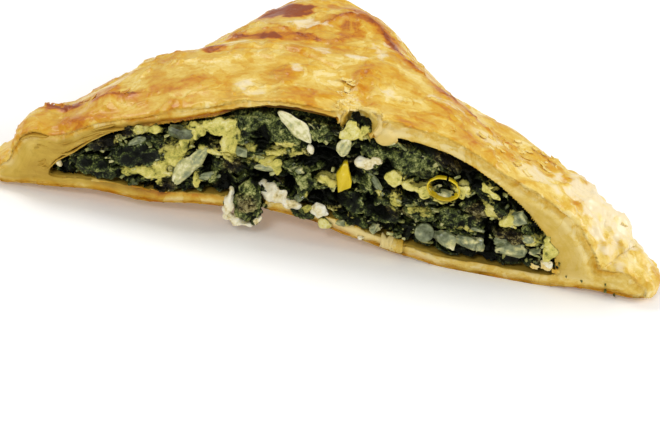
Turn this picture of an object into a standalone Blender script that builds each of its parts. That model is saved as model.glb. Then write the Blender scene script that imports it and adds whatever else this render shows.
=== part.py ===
"""Half of a baked spanakopita parcel, cut across: a puff-pastry shell with its spinach filling.

Metres, +Z up. The whole parcel is square in plan. It is cut along the plane y = 0, and the half
behind that plane is kept: the cut face looks along -Y, the sealed back corner points to +Y, and
the underside rests on z = 0. The last step moves the solids so that the origin is at the bottom
centre.
"""

import math

import bmesh
import bpy
from mathutils import Matrix, Vector, noise

# Corners of the whole parcel, seen from above. The fourth one is in the half that is cut away.
BACK_CORNER = Vector((-0.0110, 0.1000))
RIGHT_CORNER = Vector((0.0845, 0.0100))
LEFT_CORNER = Vector((-0.0905, 0.0040))
CORNER_RADIUS = 0.010
LEFT_CORNER_RADIUS = 0.025
SIDE_WAVER = 0.0010  # how far the sides stray from straight
WAVER_SPACING = 0.022

# The pressed border and the puffed walls: left, right and front right side.
BORDERS = (0.0030, 0.0055, 0.0100)
WALLS = (0.0190, 0.0250, 0.0100)
STEEP_WALL = 0.0075  # the right wall's width towards the right corner
STEEP_FROM = 0.020  # across, where the right wall starts to get steeper
STEEP_AT = 0.060
LIP = 0.0030  # thickness at the outer edge
BORDER_FOOT = 0.0066  # thickness where the puffed wall rises from the border
BORDER_RISE = 0.0080  # distance from the edge over which the border thickens

# The top crust.
CREST = 0.0357  # height at the middle of the cut face
BACK_CREST = 0.0335  # height over the back corner
LOWEST_CREST = 0.50  # as a share of the crest
LEFT_SHOULDER = (0.086, 2.5)  # where the left would come down to nothing, and how roundly
RIGHT_SHOULDER = (0.088, 2.1)
CUT_SAGS = ((-0.042, 0.032, 0.0040), (0.044, 0.026, 0.0030))  # at, half width and depth
CUT_SAG_REACH = 0.011
FOLD_BACK = 0.031  # distance of the overlapped fold behind the cut face
FOLD_DROP = 0.0026
FOLD_WIDTH = 0.0060
FOLD_REACH = 0.018
BLISTER = 0.0015
BLISTER_SPACING = 0.021
SWELLS = (  # where the baked crust sank or rose: middle, half sizes, turn in degrees, rise
    ((-0.039, 0.045), (0.018, 0.008), 46, -0.0038),
    ((0.023, 0.042), (0.022, 0.011), -42, -0.0042),
    ((0.037, 0.023), (0.013, 0.009), -20, -0.0034),
    ((-0.001, 0.077), (0.016, 0.014), 0, 0.0038),
    ((0.004, 0.057), (0.012, 0.008), -45, 0.0026),
)
TIP_RISES = ((-0.063, -0.080, 0.0044), (0.064, 0.073, 0.0030))  # from, to across, and how much
SWELL_FOOT = 0.007  # thinner crust than this rises less

# Underside and bottom crust.
BOTTOM_CRUST = 0.0028
ARCH = (  # across, and how far the underside is bent up there at the cut face
    (-0.090, 0.0000),
    (-0.078, 0.0012),
    (-0.068, 0.0022),
    (-0.055, 0.0036),
    (-0.043, 0.0030),
    (-0.030, 0.0050),
    (-0.015, 0.0068),
    (-0.005, 0.0062),
    (0.006, 0.0036),
    (0.018, 0.0014),
    (0.029, 0.0000),
    (0.050, 0.0000),
    (0.063, 0.0014),
    (0.084, 0.0008),
)
ARCH_REACH = 0.034
EDGE_LIFT = 0.0007  # the outer edge curls off the table
EDGE_LIFT_WIDTH = 0.003

# The filling, its hanging lump, and the gap that keeps it off the pastry.
FILLING_INSETS = (0.0100, 0.0145, 0.0168)
FILLING_RADIUS = 0.014
FILLING_SHOULDER = 0.0155  # width over which the filling thins towards its edges
FILLING_EDGE = 0.0016  # thickness of the filling's outer edge
TOP_CRUST = 0.0034
GAP = 0.0003
LUMP_AT = Vector((-0.0190, -0.0006, 0.0094))
LUMP_SIZE = Vector((0.0044, 0.0038, 0.0072))  # half widths
LUMP_UNEVEN = 0.18

# The torn notch in the top crust's cut edge.
NOTCH_AT = Vector((0.0025, 0.0000, 0.0320))
NOTCH_SIZE = Vector((0.0026, 0.0044, 0.0036))

PASTRY_GRID = 44  # faces along each side of the whole parcel
FILLING_GRID = 26
CROWDING = 0.55  # how much closer the faces lie near the sides, as a share of the even step
BALL_RINGS = 3  # subdivisions of the balls


def smooth_step(share):
    share = max(0.0, min(1.0, share))
    return share * share * (3 - 2 * share)


def rounded_rise(distance, width):
    """A quarter-round rise: 0 at the foot, 1 at a distance of width or more."""
    share = max(0.0, min(1.0, distance / width))
    return math.sqrt(1 - (1 - share) ** 2)


def hump(distance, width):
    """1 in the middle, 0 from this distance on."""
    return 1 - smooth_step(abs(distance) / width)


# The plan is measured inwards from the two sides that meet at the back corner.
RIGHT_SIDE = RIGHT_CORNER - BACK_CORNER
LEFT_SIDE = LEFT_CORNER - BACK_CORNER
ALONG_SIDES = Matrix((RIGHT_SIDE.normalized(), LEFT_SIDE.normalized())).transposed()
TO_SIDES = ALONG_SIDES.inverted()


def four_distances(x, y):
    """Distances inwards from the left, right, front right and front left side."""
    left, right = TO_SIDES @ (Vector((x, y)) - BACK_CORNER)
    return left, right, RIGHT_SIDE.length - left, LEFT_SIDE.length - right


def inside_corner(one, other, radius):
    """The distance inwards from two sides that meet in an arc of this radius."""
    if one < radius and other < radius:
        return radius - math.hypot(radius - one, radius - other)
    return min(one, other)


def edge_distance(x, y):
    """The distance inwards from the whole parcel's edge."""
    left, right, front_right, front_left = four_distances(x, y)
    return min(
        inside_corner(left, right, CORNER_RADIUS),
        inside_corner(front_right, right, CORNER_RADIUS),
        inside_corner(front_right, front_left, CORNER_RADIUS),
        inside_corner(left, front_left, LEFT_CORNER_RADIUS),
    )


def three_sides(x, y, insets):
    """Distances inwards from three sides with these insets; the left one runs on round its corner."""
    left, right, front_right, front_left = four_distances(x, y)
    left_inset, right_inset, front_right_inset = insets
    return (
        inside_corner(left - left_inset, front_left - left_inset, LEFT_CORNER_RADIUS),
        right - right_inset,
        front_right - front_right_inset,
    )


def round_corner(one, other, radius):
    """Moves a point near a square corner so that the corner becomes an arc of this radius."""
    if min(radius - one, radius - other) <= 0:
        return one, other
    across, along = 1 - one / radius, 1 - other / radius
    return (
        radius * (1 - across * math.sqrt(1 - along * along / 2)),
        radius * (1 - along * math.sqrt(1 - across * across / 2)),
    )


def plan_position(across, along, insets, radius):
    """Where a point of the square grid, 0 to 1 each way, lies in a plan with these insets."""
    left, right, front_right = insets
    front_left = left
    width = RIGHT_SIDE.length - left - front_right
    length = LEFT_SIDE.length - right - front_left
    from_left, from_right = across * width, along * length
    mirrored = from_left > width / 2, from_right > length / 2
    at_left_corner = mirrored == (False, True)
    one = width - from_left if mirrored[0] else from_left
    other = length - from_right if mirrored[1] else from_right
    one, other = round_corner(one, other, LEFT_CORNER_RADIUS if at_left_corner else radius)
    from_left = width - one if mirrored[0] else one
    from_right = length - other if mirrored[1] else other
    return BACK_CORNER + ALONG_SIDES @ Vector((left + from_left, right + from_right))


def crest_height(x, y):
    """The crust's height away from its walls: highest at the middle of the cut face."""
    ridge = CREST + (BACK_CREST - CREST) * smooth_step(y / BACK_CORNER.y)
    reach, power = LEFT_SHOULDER if x < 0 else RIGHT_SHOULDER
    return ridge * max(LOWEST_CREST, 1 - (abs(x) / reach) ** power)


def relief(x, y):
    """Blisters, the overlapped fold and the sag at the cut."""
    sag = sum(depth * hump(x - middle, half_width) for middle, half_width, depth in CUT_SAGS)
    sag *= math.exp(-max(0.0, y) / CUT_SAG_REACH)
    behind_fold = y - FOLD_BACK
    fold = FOLD_DROP * smooth_step(behind_fold / FOLD_WIDTH)
    fold *= math.exp(-max(0.0, behind_fold) / FOLD_REACH)
    fold *= smooth_step((0.004 - x) / 0.014)
    blisters = BLISTER * noise.noise(Vector((x, y, 0.31)) / BLISTER_SPACING)
    return blisters - sag - fold


def baked_rise(x, y):
    """How far the crust sank or rose here in the oven."""
    rise = 0.0
    for middle, half_sizes, turn, most in SWELLS:
        turned_back = Matrix.Rotation(math.radians(-turn), 2)
        away = turned_back @ (Vector((x, y)) - Vector(middle))
        share = math.exp(-((away.x / half_sizes[0]) ** 2) - (away.y / half_sizes[1]) ** 2)
        if most < 0 and x < 0:
            share *= smooth_step((y - FOLD_BACK) / FOLD_WIDTH)
        rise += most * share
    for start, full, most in TIP_RISES:
        rise += most * smooth_step((x - start) / (full - start))
    return rise


def wall_widths(x):
    steeper = smooth_step((x - STEEP_FROM) / (STEEP_AT - STEEP_FROM))
    left, right, front_right = WALLS
    return left, right + (STEEP_WALL - right) * steeper, front_right


def top_height(x, y):
    border = LIP + (BORDER_FOOT - LIP) * smooth_step(edge_distance(x, y) / BORDER_RISE)
    climb = math.prod(map(rounded_rise, three_sides(x, y, BORDERS), wall_widths(x)))
    body = crest_height(x, y) + relief(x, y)
    height = border + max(0.0, body - border) * climb
    return height + baked_rise(x, y) * smooth_step(height / SWELL_FOOT)


def bent_up(x):
    """How far the underside is bent up at the cut face."""
    for (start, first), (end, last) in zip(ARCH, ARCH[1:]):
        if start <= x < end:
            return first + (last - first) * smooth_step((x - start) / (end - start))
    return 0.0


def underside_height(x, y):
    arch = bent_up(x) * (1 - smooth_step(y / ARCH_REACH))
    lift = EDGE_LIFT * (1 - smooth_step(edge_distance(x, y) / EDGE_LIFT_WIDTH))
    return arch + lift


def floor_height(x, y):
    """The filling's underside, on top of the bottom crust."""
    return underside_height(x, y) + BOTTOM_CRUST + GAP


def filling_height(x, y):
    thins = math.prod(
        rounded_rise(distance, FILLING_SHOULDER)
        for distance in three_sides(x, y, FILLING_INSETS)
    )
    foot = floor_height(x, y) + FILLING_EDGE
    return foot + max(0.0, top_height(x, y) - TOP_CRUST - foot) * thins


def waver(position):
    """Bends the parcel's sides a little in and out."""
    spot = Vector((position.x, position.y, 0.7)) / WAVER_SPACING
    stray = Vector((noise.noise(spot), noise.noise(spot + Vector((0, 0, 5)))))
    return position + stray * SIDE_WAVER * (1 - smooth_step(edge_distance(*position) / 0.015))


def slab(faces, insets, radius, top, bottom):
    """The whole parcel between two height functions: a grid laid over the plan, extruded down."""
    bm = bmesh.new()
    bmesh.ops.create_grid(bm, x_segments=faces, y_segments=faces, size=0.5)
    for vert in bm.verts:
        shares = (share + 0.5 for share in vert.co.xy)
        crowded = (s - CROWDING * math.sin(2 * math.pi * s) / (2 * math.pi) for s in shares)
        vert.co.xy = waver(plan_position(*crowded, insets, radius))
    lower = bmesh.ops.extrude_face_region(bm, geom=bm.faces[:])["geom"]
    below = {element for element in lower if isinstance(element, bmesh.types.BMVert)}
    for vert in bm.verts:
        height = bottom if vert in below else top
        vert.co.z = height(vert.co.x, vert.co.y)
    bmesh.ops.recalc_face_normals(bm, faces=bm.faces[:])
    return bm


def cut_across(bm):
    """Keeps what lies behind the cut plane, and closes it there."""
    bmesh.ops.bisect_plane(
        bm,
        geom=bm.verts[:] + bm.edges[:] + bm.faces[:],
        dist=1e-6,
        plane_co=(0, 0, 0),
        plane_no=(0, -1, 0),
        clear_outer=True,
    )
    bmesh.ops.holes_fill(bm, edges=[edge for edge in bm.edges if edge.is_boundary], sides=0)


def grow(bm, clearance):
    """Moves every face outwards by this much."""
    bm.normal_update()
    outwards = [vert.normal * vert.calc_shell_factor() for vert in bm.verts]
    for vert, direction in zip(bm.verts, outwards):
        vert.co += direction * clearance


def filling_slab():
    """In triangles, so that a grown copy keeps the same facets."""
    bm = slab(FILLING_GRID, FILLING_INSETS, FILLING_RADIUS, filling_height, floor_height)
    bmesh.ops.triangulate(bm, faces=bm.faces[:])
    return bm


def uneven_ball(centre, half_widths, unevenness):
    bm = bmesh.new()
    bmesh.ops.create_icosphere(bm, subdivisions=BALL_RINGS, radius=1)
    for vert in bm.verts:
        vert.co *= 1 + unevenness * noise.noise(vert.co * 1.4)
    bmesh.ops.scale(bm, vec=half_widths, verts=bm.verts[:])
    bmesh.ops.translate(bm, vec=centre, verts=bm.verts[:])
    return bm


def collection(name):
    made = bpy.data.collections.new(name)
    bpy.context.scene.collection.children.link(made)
    return made


def finished_object(bm, name, group):
    bmesh.ops.recalc_face_normals(bm, faces=bm.faces[:])
    mesh = bpy.data.meshes.new(name)
    bm.to_mesh(mesh)
    bm.free()
    mesh.shade_smooth()
    mesh.set_sharp_from_angle(angle=math.radians(40))
    made = bpy.data.objects.new(name, mesh)
    group.objects.link(made)
    return made


def boolean(target, other, operation):
    modifier = target.modifiers.new(other.name, "BOOLEAN")
    modifier.operation = operation
    modifier.object = other
    other.hide_render = True
    other.display_type = "WIRE"


def material(name, colour, roughness):
    made = bpy.data.materials.new(name)
    made.use_nodes = True
    shader = made.node_tree.nodes["Principled BSDF"]
    shader.inputs["Base Color"].default_value = (*colour, 1)
    shader.inputs["Roughness"].default_value = roughness
    shader.inputs["Metallic"].default_value = 0
    return made


def make_filling(parts, cutters):
    bm = filling_slab()
    cut_across(bm)
    filling = finished_object(bm, "filling", parts)
    lump = uneven_ball(LUMP_AT, LUMP_SIZE, LUMP_UNEVEN)
    boolean(filling, finished_object(lump, "hanging_lump", cutters), "UNION")
    filling.data.materials.append(material("spinach_filling", (0.06, 0.10, 0.03), 0.45))
    return filling


def make_pastry(parts, cutters):
    bm = slab(PASTRY_GRID, (0, 0, 0), CORNER_RADIUS, top_height, underside_height)
    cut_across(bm)
    pastry = finished_object(bm, "pastry", parts)
    space = filling_slab()
    lump_room = uneven_ball(LUMP_AT, LUMP_SIZE, LUMP_UNEVEN)
    for cutter in (space, lump_room):
        grow(cutter, GAP)
    notch = uneven_ball(NOTCH_AT, NOTCH_SIZE, LUMP_UNEVEN)
    for name, cutter in (
        ("filling_space", space),
        ("lump_room", lump_room),
        ("torn_notch", notch),
    ):
        boolean(pastry, finished_object(cutter, name, cutters), "DIFFERENCE")
    pastry.data.materials.append(material("golden_crust", (0.72, 0.42, 0.12), 0.4))
    return pastry


def centre_on_base(solids, cutters):
    """Moves everything so that the origin is at the middle of the base."""
    bpy.context.view_layer.update()
    graph = bpy.context.evaluated_depsgraph_get()
    corners = [Vector(c) for s in solids for c in s.evaluated_get(graph).bound_box]
    low, high = (Vector(map(pick, zip(*corners))) for pick in (min, max))
    shift = Vector((-(low.x + high.x) / 2, -(low.y + high.y) / 2, -low.z))
    for made in [*solids, *cutters.objects]:
        made.location += shift


def main():
    for leftover in list(bpy.data.objects):
        bpy.data.objects.remove(leftover)
    parts = collection("spanakopita_half")
    cutters = collection("cutters")
    solids = [make_pastry(parts, cutters), make_filling(parts, cutters)]
    centre_on_base(solids, cutters)


main()
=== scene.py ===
import math
import random

import bmesh
import bpy
import numpy as np
from mathutils import Matrix, Quaternion, Vector, noise
from mathutils.bvhtree import BVHTree


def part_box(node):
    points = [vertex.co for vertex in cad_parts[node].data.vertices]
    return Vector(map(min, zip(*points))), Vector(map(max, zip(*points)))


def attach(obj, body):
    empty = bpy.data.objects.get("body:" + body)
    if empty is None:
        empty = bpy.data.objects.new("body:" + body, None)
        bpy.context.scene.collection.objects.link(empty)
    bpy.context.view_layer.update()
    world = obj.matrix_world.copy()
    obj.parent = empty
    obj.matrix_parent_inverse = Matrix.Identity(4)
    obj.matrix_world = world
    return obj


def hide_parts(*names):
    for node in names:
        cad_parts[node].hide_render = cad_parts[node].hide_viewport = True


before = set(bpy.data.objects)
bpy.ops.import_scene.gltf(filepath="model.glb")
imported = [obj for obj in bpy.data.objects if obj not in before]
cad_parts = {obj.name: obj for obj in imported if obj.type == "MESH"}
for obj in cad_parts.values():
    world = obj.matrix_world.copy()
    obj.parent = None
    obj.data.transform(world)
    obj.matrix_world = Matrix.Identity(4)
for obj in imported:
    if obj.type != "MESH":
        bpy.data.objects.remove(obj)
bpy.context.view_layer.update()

# ---------------------------------------------------------------------------
# Camera. It looks down on the cut face, turned a little about its own axis, because the real
# piece lies propped on its neighbour.

crust_low, crust_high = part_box("pastry")
CUT_Y = crust_low.y  # the plane of the cut face
CAMERA_DISTANCE = 0.55
CAMERA_ELEVATION = math.radians(28)
CAMERA_ROLL = math.radians(10.5)
CAMERA_LENS, SENSOR_WIDTH = 128, 36  # millimetres

scene = bpy.context.scene
camera = bpy.data.objects.new("camera", bpy.data.cameras.new("camera"))
scene.collection.objects.link(camera)
camera.data.lens = CAMERA_LENS
camera.data.sensor_width = SENSOR_WIDTH
backwards = Vector((0, -math.cos(CAMERA_ELEVATION), math.sin(CAMERA_ELEVATION)))
looked_at = Vector((0.0005, CUT_Y, crust_high.z / 5))
camera.rotation_mode = "QUATERNION"
camera.rotation_quaternion = (-backwards).to_track_quat("-Z", "Y") @ Quaternion((0, 0, 1), CAMERA_ROLL)
camera.location = looked_at + backwards * CAMERA_DISTANCE
scene.camera = camera

# ---------------------------------------------------------------------------
# Light table: a white floor, a large soft lamp above, behind and to the left, a smaller one in
# front that makes the wet filling glint, and an even white sky.

FLOOR_SIZE = 6.0
FLOOR_COLOUR = (0.93, 0.93, 0.925, 1)
FLOOR_GLOW = 0.13
SKY_COLOUR = (1.0, 0.995, 0.985, 1)
SKY_STRENGTH = 0.41
LAMPS = {  # position and size in metres, power in watts
    "key_lamp": ((-0.55, 0.35, 0.95), 0.55, 5.6),
    "front_lamp": ((-0.30, -0.95, 0.75), 0.30, 3.8),
    "right_lamp": ((0.95, 0.05, 0.55), 0.50, 6.0),
}

bm = bmesh.new()
bmesh.ops.create_grid(bm, x_segments=1, y_segments=1, size=FLOOR_SIZE / 2)
floor = bpy.data.objects.new("floor", bpy.data.meshes.new("floor"))
bm.to_mesh(floor.data)
bm.free()
scene.collection.objects.link(floor)
floor_paint = bpy.data.materials.new("white_table")
floor_paint.use_nodes = True
paint = floor_paint.node_tree.nodes["Principled BSDF"].inputs
paint["Base Color"].default_value = FLOOR_COLOUR
paint["Roughness"].default_value = 0.5
paint["Emission Color"].default_value = (1, 1, 1, 1)
paint["Emission Strength"].default_value = FLOOR_GLOW
floor.data.materials.append(floor_paint)

for name, (place, size, power) in LAMPS.items():
    lamp = bpy.data.objects.new(name, bpy.data.lights.new(name, "AREA"))
    lamp.data.shape = "DISK"
    lamp.data.size = size
    lamp.data.energy = power
    lamp.location = place
    lamp.rotation_mode = "QUATERNION"
    lamp.rotation_quaternion = (-Vector(place)).to_track_quat("-Z", "Y")
    scene.collection.objects.link(lamp)

sky = bpy.data.worlds.new("white_room")
scene.world = sky
sky.use_nodes = True
background = sky.node_tree.nodes["Background"].inputs
background["Color"].default_value = SKY_COLOUR
background["Strength"].default_value = SKY_STRENGTH
scene.view_settings.view_transform = "Standard"

# ---------------------------------------------------------------------------
# The crust: one sheet of laminated dough, folded over the filling, its edges pressed together,
# washed with egg and baked until the leaves lift, blister and brown. The knife leaves a ragged,
# paler edge that shows the leaves.

MM = 0.001
CRUST_VOXEL = 0.45 * MM
CREASE_ANGLE = math.radians(32)
MERGE_DISTANCE = 0.001 * MM
MOST_TRIANGLES = 190_000


class Socket:
    """A number made by a shader node; sums and products with it add nodes."""

    def __init__(self, tree, output):
        self.tree, self.output = tree, output

    def _maths(self, operation, *values, clamp=False):
        return add_node(
            self.tree, "ShaderNodeMath", enumerate(values), operation=operation, use_clamp=clamp
        )

    def __add__(self, other):
        return self._maths("ADD", self, other)

    def __radd__(self, other):
        return self._maths("ADD", other, self)

    def __sub__(self, other):
        return self._maths("SUBTRACT", self, other)

    def __rsub__(self, other):
        return self._maths("SUBTRACT", other, self)

    def __mul__(self, other):
        return self._maths("MULTIPLY", self, other)

    def __rmul__(self, other):
        return self._maths("MULTIPLY", other, self)

    def clamped(self):
        return self._maths("ADD", self, 0.0, clamp=True)


def add_node(tree, kind, inputs=(), output=0, stops=None, **settings):
    """Adds a node, sets it, links or fills its inputs, and gives one of its outputs."""
    node = tree.nodes.new(kind)
    for setting, value in settings.items():
        setattr(node, setting, value)
    if stops:
        ramp = node.color_ramp
        while len(ramp.elements) < len(stops):
            ramp.elements.new(0.5)
        for element, (place, colour) in zip(ramp.elements, stops):
            element.position = place
            element.color = (*colour, 1)
    for name, value in dict(inputs).items():
        if isinstance(value, Socket):
            tree.links.new(value.output, node.inputs[name])
        elif isinstance(value, tuple) and node.inputs[name].type == "RGBA":
            node.inputs[name].default_value = (*value, 1)
        else:
            node.inputs[name].default_value = value
    return Socket(tree, node.outputs[output])


def new_finish(name, **constants):
    """A Principled material with these constant values, its node tree and its shader."""
    finish = bpy.data.materials.new(name)
    finish.use_nodes = True
    shader = finish.node_tree.nodes["Principled BSDF"]
    for key, value in constants.items():
        shader.inputs[key.replace("_", " ")].default_value = value
    return finish, finish.node_tree, shader


def drive(tree, shader, **sockets):
    """Links what varies over the surface to the shader."""
    for key, socket in sockets.items():
        tree.links.new(socket.output, shader.inputs[key.replace("_", " ")])


def grain(tree, where, size_mm, detail=2.0, roughness=0.5, distortion=0.0):
    """Noise from 0 to 1 with grains of this size."""
    inputs = {
        "Vector": where,
        "Scale": 1000.0 / size_mm,
        "Detail": detail,
        "Roughness": roughness,
        "Distortion": distortion,
    }
    return add_node(tree, "ShaderNodeTexNoise", inputs)


def blend_colours(tree, share, first, second):
    """From the first colour to the second as the share goes from 0 to 1."""
    inputs = {0: share, 6: first, 7: second}
    return add_node(tree, "ShaderNodeMix", inputs, output=2, data_type="RGBA")


def colour_ramp(tree, share, *stops):
    """The colour at this share of the way, between stops that are each a share and a colour."""
    return add_node(tree, "ShaderNodeValToRGB", {"Fac": share}, stops=stops)


def bumps(tree, height, strength, distance_mm):
    """Relief too fine for the mesh."""
    inputs = {"Strength": strength, "Distance": distance_mm * MM, "Height": height}
    return add_node(tree, "ShaderNodeBump", inputs)


def object_place(tree):
    """The place on the piece, in metres."""
    return add_node(tree, "ShaderNodeTexCoord", output=3)


def attribute(tree, name):
    return add_node(tree, "ShaderNodeAttribute", output=2, attribute_name=name)


def smooth_step(share):
    share = max(0.0, min(1.0, share))
    return share * share * (3 - 2 * share)


def wave(point, size, seed=0.0):
    """Smooth noise, about -1 to 1, with waves of this size. Both are in millimetres."""
    return noise.noise(point / size + Vector((seed, 1.7 * seed, -seed)))


def spot(point, centre, radii, sharpness=2.2):
    """1 in the middle of an oval seen from above, 0 outside it, with a ragged edge."""
    across = (point.x - centre[0]) / radii[0]
    along = (point.y - centre[1]) / radii[1]
    ragged = 0.55 * wave(point, 3.1, 4.0) + 0.25 * wave(point, 1.3, 4.5)
    return smooth_step(sharpness * (1.15 - math.hypot(across, along) + ragged))


def lifted_leaf(point, size, threshold, seed):
    """How far a torn top leaf rises here, and how near its edge this is, each from 0 to 1."""
    inside = wave(point, size, seed) + 0.5 * wave(point, 0.42 * size, seed + 3)
    inside += 0.25 * wave(point, 0.15 * size, seed + 5) - threshold
    rise = smooth_step(inside / 0.10)
    rim = math.exp(-(((inside - 0.09) / 0.09) ** 2))
    return rise, rim


def tree_of(bm, faces):
    """A search tree of these faces."""
    polygons = [[vert.index for vert in face.verts] for face in faces]
    return BVHTree.FromPolygons([vert.co for vert in bm.verts], polygons)


def merged_copy(node):
    """A copy of a solid's mesh, its loose triangles joined."""
    copy = bmesh.new()
    copy.from_mesh(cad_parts[node].data)
    bmesh.ops.remove_doubles(copy, verts=copy.verts[:], dist=MERGE_DISTANCE)
    copy.normal_update()
    copy.verts.index_update()
    copy.faces.index_update()
    return copy


def new_piece(name, mesh, finish, node=None):
    """Links a piece, gives it its finish and says what it belongs to."""
    for vert in mesh.vertices:
        vert.co.z = max(vert.co.z, 0.0)
    piece = bpy.data.objects.new(name, mesh)
    scene.collection.objects.link(piece)
    mesh.materials.clear()
    mesh.materials.append(finish)
    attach(piece, "root")
    if node:
        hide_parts(node)


def baked_mesh(name, mesh, modifiers):
    """A mesh with these modifiers applied, one after the other."""
    carrier = bpy.data.objects.new(name, mesh)
    scene.collection.objects.link(carrier)
    for kind, settings in modifiers:
        modifier = carrier.modifiers.new(kind.lower(), kind)
        for key, value in settings.items():
            setattr(modifier, key, value)
    bpy.context.view_layer.update()
    graph = bpy.context.evaluated_depsgraph_get()
    made = bpy.data.meshes.new_from_object(carrier.evaluated_get(graph))
    made.name = name
    bpy.data.objects.remove(carrier)
    return made


cad_crust = merged_copy("pastry")
cad_filling = merged_copy("filling")
filling_tree = tree_of(cad_filling, cad_filling.faces)


def side_of(face):
    """Which side of the crust a face of the solid is on: the cut, the hollow or the skin."""
    middle = face.calc_center_median()
    if face.normal.y < -0.98 and middle.y < CUT_Y + 0.1 * MM:
        return "cut"
    if filling_tree.find_nearest(middle)[3] < 0.7 * MM:
        return "hollow"
    return "skin"


sides = [side_of(face) for face in cad_crust.faces]
crust_tree = tree_of(cad_crust, cad_crust.faces)
skin_tree = tree_of(cad_crust, [f for f, side in zip(cad_crust.faces, sides) if side == "skin"])

bmesh.ops.join_triangles(
    cad_crust,
    faces=cad_crust.faces[:],
    angle_face_threshold=math.radians(25),
    angle_shape_threshold=math.radians(35),
)
CRUST_LIPS = (  # where the crust sags and curls over the filling: middle and radii
    ((9.4, 0.2, 31.2), (2.7, 1.5, 2.5)),
    ((7.2, 0.8, 32.4), (2.6, 1.2, 1.6)),
)


def at_cut(across, back, up):
    """From millimetres across, behind the cut and above the table, to the scene."""
    return Vector((across * MM, CUT_Y + back * MM, up * MM))


def add_ball(bm, centre, radii, detail=3, turn=0.0):
    """Adds an oval ball on the cut face and gives its vertices."""
    made = bmesh.ops.create_icosphere(bm, subdivisions=detail, radius=1.0)["verts"]
    put = Matrix.Translation(at_cut(*centre)) @ Matrix.Rotation(math.radians(-turn), 4, "Y")
    put = put @ Matrix.Diagonal((*(radius * MM for radius in radii), 1))
    bmesh.ops.transform(bm, matrix=put, verts=made)
    return made


for centre, radii in CRUST_LIPS:
    add_ball(cad_crust, centre, radii)
crease = cad_crust.edges.layers.float.new("crease_edge")
for edge in cad_crust.edges:
    if edge.calc_face_angle(0.0) > CREASE_ANGLE:
        edge[crease] = 1.0
cage = bpy.data.meshes.new("crust_cage")
cad_crust.to_mesh(cage)
cad_crust.free()
crust = baked_mesh(
    "golden_crust",
    cage,
    [
        ("SUBSURF", {"levels": 2, "render_levels": 2}),
        ("REMESH", {"mode": "VOXEL", "voxel_size": CRUST_VOXEL}),
    ],
)

LEAVES = (  # size of the torn leaves, how much of the crust they leave bare, and their height
    (17.0, 0.10, 0.32),
    (12.0, 0.22, 0.26),
)
FOLD_LINE = (  # where the dough folds over the back: across and behind the cut
    (-12, 48), (-8, 52.5), (-4, 56), (0, 56.5), (4, 52), (9.5, 41), (17, 32.5), (24, 26), (33, 18)
)
RIMS = (  # folds and leaf edges: line across and behind the cut, width, browning, step
    (((-35, 28), (-27, 29.3), (-19, 31), (-11.4, 27), (-5, 23)), 1.3, 0.10, -0.7),
    (FOLD_LINE, 1.9, 0.42, 0.5),
    (((-21, 47), (-17, 44), (-12, 40.5)), 1.2, 0.25, 0.35),
    (((-70, 15.5), (-63, 13.0), (-57, 10.5), (-50, 10.0)), 1.5, 0.40, 0.3),
    (((3.7, 17), (3.6, 12), (3.9, 7.5), (5.6, 2.9)), 1.0, 0.10, -0.6),
    (((9.5, 19), (8.6, 15), (8.0, 12)), 0.9, -0.15, 0.4),
    (((44, 3), (50, 7), (56, 16)), 1.3, 0.12, 0.4),
    (((56, 5), (60, 12), (60, 22)), 1.2, 0.16, 0.4),
    (((64, 3), (66, 9), (69, 15)), 1.0, 0.12, 0.3),
)
BROWN_SPOTS = (  # across and behind the cut, radii, strength: all in millimetres but the last
    ((-19.5, 60.0), (6.5, 5.0), 1.00),
    ((-3.0, 63.0), (8.5, 2.5), 0.34),
    ((-16.5, 41.0), (6.0, 2.6), 0.32),
    ((-27.0, 41.0), (6.5, 2.0), 0.34),
    ((-2.8, 46.0), (3.4, 5.5), 0.36),
    ((-34.5, 31.5), (3.4, 4.0), 0.62),
    ((8.0, 47.0), (3.4, 7.0), 0.36),
    ((-64.0, 14.0), (9.0, 3.0), 0.46),
    ((-35.0, 9.5), (9.0, 4.0), 0.20),
    ((-17.5, 15.0), (4.5, 6.0), 0.20),
    ((-48.0, 10.0), (7.0, 3.5), 0.18),
    ((-11.0, 7.0), (7.0, 2.5), 0.12),
    ((38.2, 9.0), (3.0, 2.2), 0.22),
    ((16.0, 10.0), (8.0, 5.0), 0.10),
    ((26.0, 14.0), (5.0, 5.0), 0.10),
)
# Pale patches, partly dry pale dough and partly painted sheen of the egg wash: across and behind the
# cut, radii, strength.
PALE_AND_SHEEN_SPOTS = (
    ((-25.3, 10.0), (2.4, 3.4), 1.0),
    ((-21.5, 6.0), (3.2, 2.4), 0.9),
    ((-14.0, 20.0), (1.9, 3.6), 0.9),
    ((-29.0, 36.5), (5.5, 2.6), 1.15),
    ((-13.5, 50.5), (6.0, 4.5), 1.1),
    ((-9.0, 32.0), (3.0, 5.0), 0.9),
    ((4.6, 37.5), (2.8, 7.0), 1.2),
    ((0.0, 30.5), (5.0, 2.2), 1.1),
    ((9.0, 57.0), (2.5, 5.0), 1.1),
    ((8.6, 15.5), (2.2, 2.6), 0.8),
    ((0.4, 9.0), (2.2, 6.0), 0.7),
    ((22.0, 20.0), (6.0, 4.0), 0.6),
    ((33.0, 12.0), (6.0, 4.0), 0.8),
    ((46.0, 8.0), (7.0, 5.0), 0.9),
    ((62.0, 12.0), (13.0, 12.0), 1.25),
    ((74.0, 14.0), (8.0, 8.0), 0.9),
    ((-56.0, 20.0), (8.0, 3.0), 0.8),
    ((-74.0, 12.0), (6.0, 6.0), 0.4),
)
TEAR = ((1.7, 21), (1.5, 13), (0.4, 8), (-0.9, 3))  # runs back from the torn notch
TEAR_WIDTH = 2.2


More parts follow.
